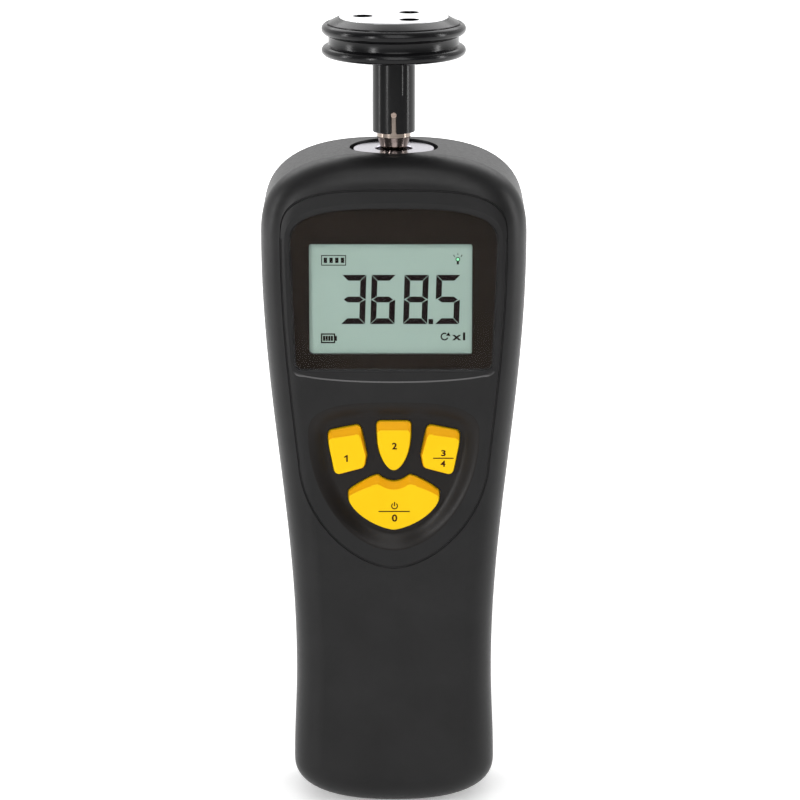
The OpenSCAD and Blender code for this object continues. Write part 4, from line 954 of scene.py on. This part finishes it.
def face():
    """The bright face of the wheel."""
    profile = [(0, WEB_Z), (FACE_R, WEB_Z), (FACE_R, RIM_TOP_Z - 0.2), (FACE_R - 0.2, RIM_TOP_Z),
               (0, RIM_TOP_Z)]
    part = turned("face_disc", profile, 128)
    bored(part, *face_holes())
    return softened(part, 0.12, 2, 60)


def spindle():
    """The shaft, from its lower end over the clip's groove, the bearing seats and the cone to its head."""
    seat_r, neck_r, head_r, groove_r = 3.48, 3.7, 4.65, 2.9
    profile = [(0, 157.4), (seat_r - 0.2, 157.4), (seat_r, 157.6), (seat_r, 167.98), (groove_r, 167.98),
               (groove_r, 168.62), (seat_r, 168.62), (seat_r, 183.1), (neck_r, 183.1), (neck_r, 185.26),
               (head_r - 0.1, 187.9), (head_r, 188.2), (head_r, 202.8), (head_r - 0.6, 203.4), (0, 203.4)]
    return bored(turned("spindle_turning", profile, 96), rod_y("pin_hole", 0, PIN_Z, 1.54, -8, 8, 32))


def collar():
    """The bright ring round the shaft."""
    inner, outer = 5.1, 11.05
    return turned("collar_turning", [(inner, LEDGE_Z), (outer, LEDGE_Z), (outer, COLLAR_Z - 0.1),
                                     (outer - 0.1, COLLAR_Z), (inner + 0.15, COLLAR_Z),
                                     (inner, COLLAR_Z - 0.15)], 128)


fitted(smooth(tyre(), 24), "wheel", "tyre_rubber", tyre_rubber, "wheel_tyre")
fitted(smooth(tidy(hub()), 30), "wheel", "hub_black", hub_plastic, "wheel_hub")
wheel_face = fitted(smooth(tidy(face()), 30), "wheel", "face_metal", face_metal, "wheel_face")
second_finish(wheel_face, hub_plastic, lambda c, n: abs(n.z) < 0.3 and Vector((c.x, c.y)).length < 13)
fitted(smooth(tidy(spindle()), 30), "spindle", "spindle_chrome", spindle_chrome, "spindle_shaft")
fitted(smooth(collar(), 30), "housing", "collar_metal", collar_metal, "collar_plate")


# ---- Legends on the keys: plain figures, bars and a power mark

LEGEND_Y, PRINT_T = KEY_Y - 0.005, 0.05
ONE = [(-0.05, -0.95), (0.38, -0.95), (0.38, 0.95), (0.05, 0.95), (-0.6, 0.5), (-0.6, 0.1), (-0.05, 0.4)]


def figure(text, x, z, high, wide, y=LEGEND_Y):
    """Bold plain figures as thin print, centred on [x, z]."""
    calm()
    bpy.ops.object.text_add()
    made = bpy.context.object
    made.data.body = text
    made.data.offset = 0.03
    made.data.extrude = 0.5
    bpy.ops.object.convert(target="MESH")
    made = named("figure")
    points = [v.co for v in made.data.vertices]
    low = [min(p[i] for p in points) for i in range(3)]
    top = [max(p[i] for p in points) for i in range(3)]
    for v in made.data.vertices:
        u, w, d = ((v.co[i] - low[i]) / (top[i] - low[i]) - 0.5 for i in range(3))
        v.co = ((x + u * wide) * MM, (y - d * PRINT_T) * MM, (z + w * high) * MM)
    return tidy(made)


def printed(name, points):
    """A flat mark on a key's face."""
    return plate(name, points, LEGEND_Y - PRINT_T / 2, LEGEND_Y + PRINT_T / 2)


def power_mark(x, z, r, t=0.3):
    """An open ring with a bar in its gap."""
    angles = [radians(125 + 290 * k / 20) for k in range(21)]
    points = [(x + r * cos(a), z + r * sin(a)) for a in angles]
    points += [(x + (r - t) * cos(a), z + (r - t) * sin(a)) for a in reversed(angles)]
    return [printed("power_ring", points),
            printed("power_bar", bar(x - 0.16, z - 0.05, x + 0.16, z + r + 0.2))]


def rule(x0, x1, z, t=0.3):
    """A line between two figures."""
    return printed("rule", bar(x0, z - t / 2, x1, z + t / 2))


LEGENDS = {
    "key_left": lambda: [printed("one", [(-13.0 + u, 101.9 + w) for u, w in ONE])],
    "key_middle": lambda: [figure("2", 0.2, 105.4, 1.9, 1.35)],
    "key_right": lambda: [figure("3", 13.6, 103.4, 1.75, 1.25), rule(10.8, 16.4, 101.95),
                          figure("4", 13.5, 100.4, 1.75, 1.35)],
    "key_power": lambda: power_mark(0.2, 88.35, 0.95) + [rule(-4.2, 4.4, 86.8),
                                                         figure("0", 0.2, 84.9, 2.05, 1.5)]}
fitted(figure("x1", 17.7, 135.55, 2.2, 3.6, GLASS_Y - 0.02), "housing", "lcd", lcd_ink)
for name, legend in LEGENDS.items():
    fitted(joined(name + "_legend", legend()), name, "key_yellow", key_print)


# ---- Camera, lights, floor and backdrop

def look(obj, at):
    """Turns a camera or a lamp towards a place."""
    obj.rotation_euler = (Vector(at) - obj.location).to_track_quat("-Z", "Y").to_euler()


# The photo's view: about 1 m away and 14 degrees above level
camera = bpy.data.objects.new("camera", bpy.data.cameras.new("camera"))
bpy.context.scene.collection.objects.link(camera)
camera.location = (0.0017, -0.9703, 0.3554)
look(camera, (0.0017, 0, 0.1135))
camera.data.lens = 161.4
camera.data.sensor_width = 36
camera.data.clip_start = 0.01
bpy.context.scene.camera = camera


def lamp(name, place, at, size, power):
    """A soft box or strip."""
    light = bpy.data.lights.new(name, "AREA")
    light.shape = "RECTANGLE"
    light.size, light.size_y = size
    light.energy = power
    obj = bpy.data.objects.new(name, light)
    bpy.context.scene.collection.objects.link(obj)
    obj.location = place
    look(obj, at)


lamp("back_box", (0.0, 0.55, 0.8), (0, 0, 0.15), (1.4, 0.5), 4.6)
lamp("high_box", (0.0, -0.6, 1.0), (0, 0, 0.1), (0.5, 0.3), 1.2)
lamp("left_side", (-1.0, -0.1, 0.3), (0, 0, 0.12), (0.14, 0.8), 2.6)
lamp("front_box", (0.12, -1.1, 0.72), (0, 0, 0.1), (0.8, 0.7), 4.3)
lamp("left_strip", (-0.72, -1.0, 0.3), (0, 0, 0.12), (0.12, 0.8), 4.2)
lamp("right_strip", (1.0, -0.12, 0.3), (0, 0, 0.12), (0.14, 0.8), 3.2)


def rays_of(tree):
    """Two masks: the rays of camera, glass and gloss, and all rays but those of gloss."""
    rays = node(tree, "LightPath").outputs
    seen = combined(tree, "MAXIMUM", rays["Is Camera Ray"], rays["Is Transmission Ray"])
    seen = combined(tree, "MAXIMUM", seen, rays["Is Glossy Ray"])
    return seen, combined(tree, "SUBTRACT", 1.0, rays["Is Glossy Ray"])


def studio_world():
    """A white room; seen in gloss it is white behind the object and dim in front of it."""
    world = bpy.data.worlds.new("studio")
    bpy.context.scene.world = world
    world.use_nodes = True
    tree = world.node_tree
    background = tree.nodes["Background"]
    seen, dull = rays_of(tree)
    strength = node(tree, "MapRange", [("Value", seen), ("To Min", 0.45), ("To Max", 1.0)])
    toward = node(tree, "SeparateXYZ", [("Vector", node(tree, "TexCoord").outputs["Generated"])])
    room = node(tree, "MapRange", [("Value", toward.outputs["Y"]), ("From Min", -0.3), ("From Max", 0.5),
                                   ("To Min", 0.12), ("To Max", 1.0)])
    room = combined(tree, "MAXIMUM", room.outputs["Result"], dull)
    background.inputs["Color"].default_value = (1, 1, 1, 1)
    strength = combined(tree, "MULTIPLY", strength.outputs["Result"], room)
    tree.links.new(strength, background.inputs["Strength"])


def studio_floor():
    """A floor, a hair below the object, that glows white to the camera and keeps the soft shadow."""
    calm()
    bpy.ops.mesh.primitive_plane_add(size=6, location=(0, 0, -0.0002))
    floor = settle(named("floor"))
    floor_paint = bpy.data.materials.new("floor_paint")
    floor_paint.use_nodes = True
    tree = floor_paint.node_tree
    shader = tree.nodes["Principled BSDF"]
    shader.inputs["Roughness"].default_value = 0.9
    place = node(tree, "TexCoord").outputs["Object"]
    haze = node(tree, "TexNoise", [("Vector", place), ("Scale", 3.0)])
    tint = node(tree, "Mix", [(0, haze.outputs["Fac"]), (6, (0.9, 0.9, 0.9, 1)), (7, (0.93, 0.93, 0.93, 1))],
                data_type="RGBA")
    tree.links.new(tint.outputs[2], shader.inputs["Base Color"])
    seen, dull = rays_of(tree)
    away = node(tree, "VectorMath", [(0, place)], operation="LENGTH")
    fade = node(tree, "MapRange", [("Value", away.outputs["Value"]), ("From Min", 0.05), ("From Max", 0.7),
                                   ("To Min", 0.3), ("To Max", 1.0)], interpolation_type="SMOOTHSTEP")
    split = node(tree, "SeparateXYZ", [("Vector", place)])
    behind = node(tree, "MapRange", [("Value", split.outputs["Y"]), ("From Min", -0.2), ("From Max", 0.1)])
    behind = combined(tree, "MAXIMUM", behind.outputs["Result"], dull)
    glow = combined(tree, "MULTIPLY", combined(tree, "MULTIPLY", seen, fade.outputs["Result"]), behind)
    shader.inputs["Emission Color"].default_value = (1, 1, 1, 1)
    tree.links.new(glow, shader.inputs["Emission Strength"])
    floor.data.materials.append(floor_paint)


studio_world()
studio_floor()
bpy.context.scene.view_settings.view_transform = "Standard"
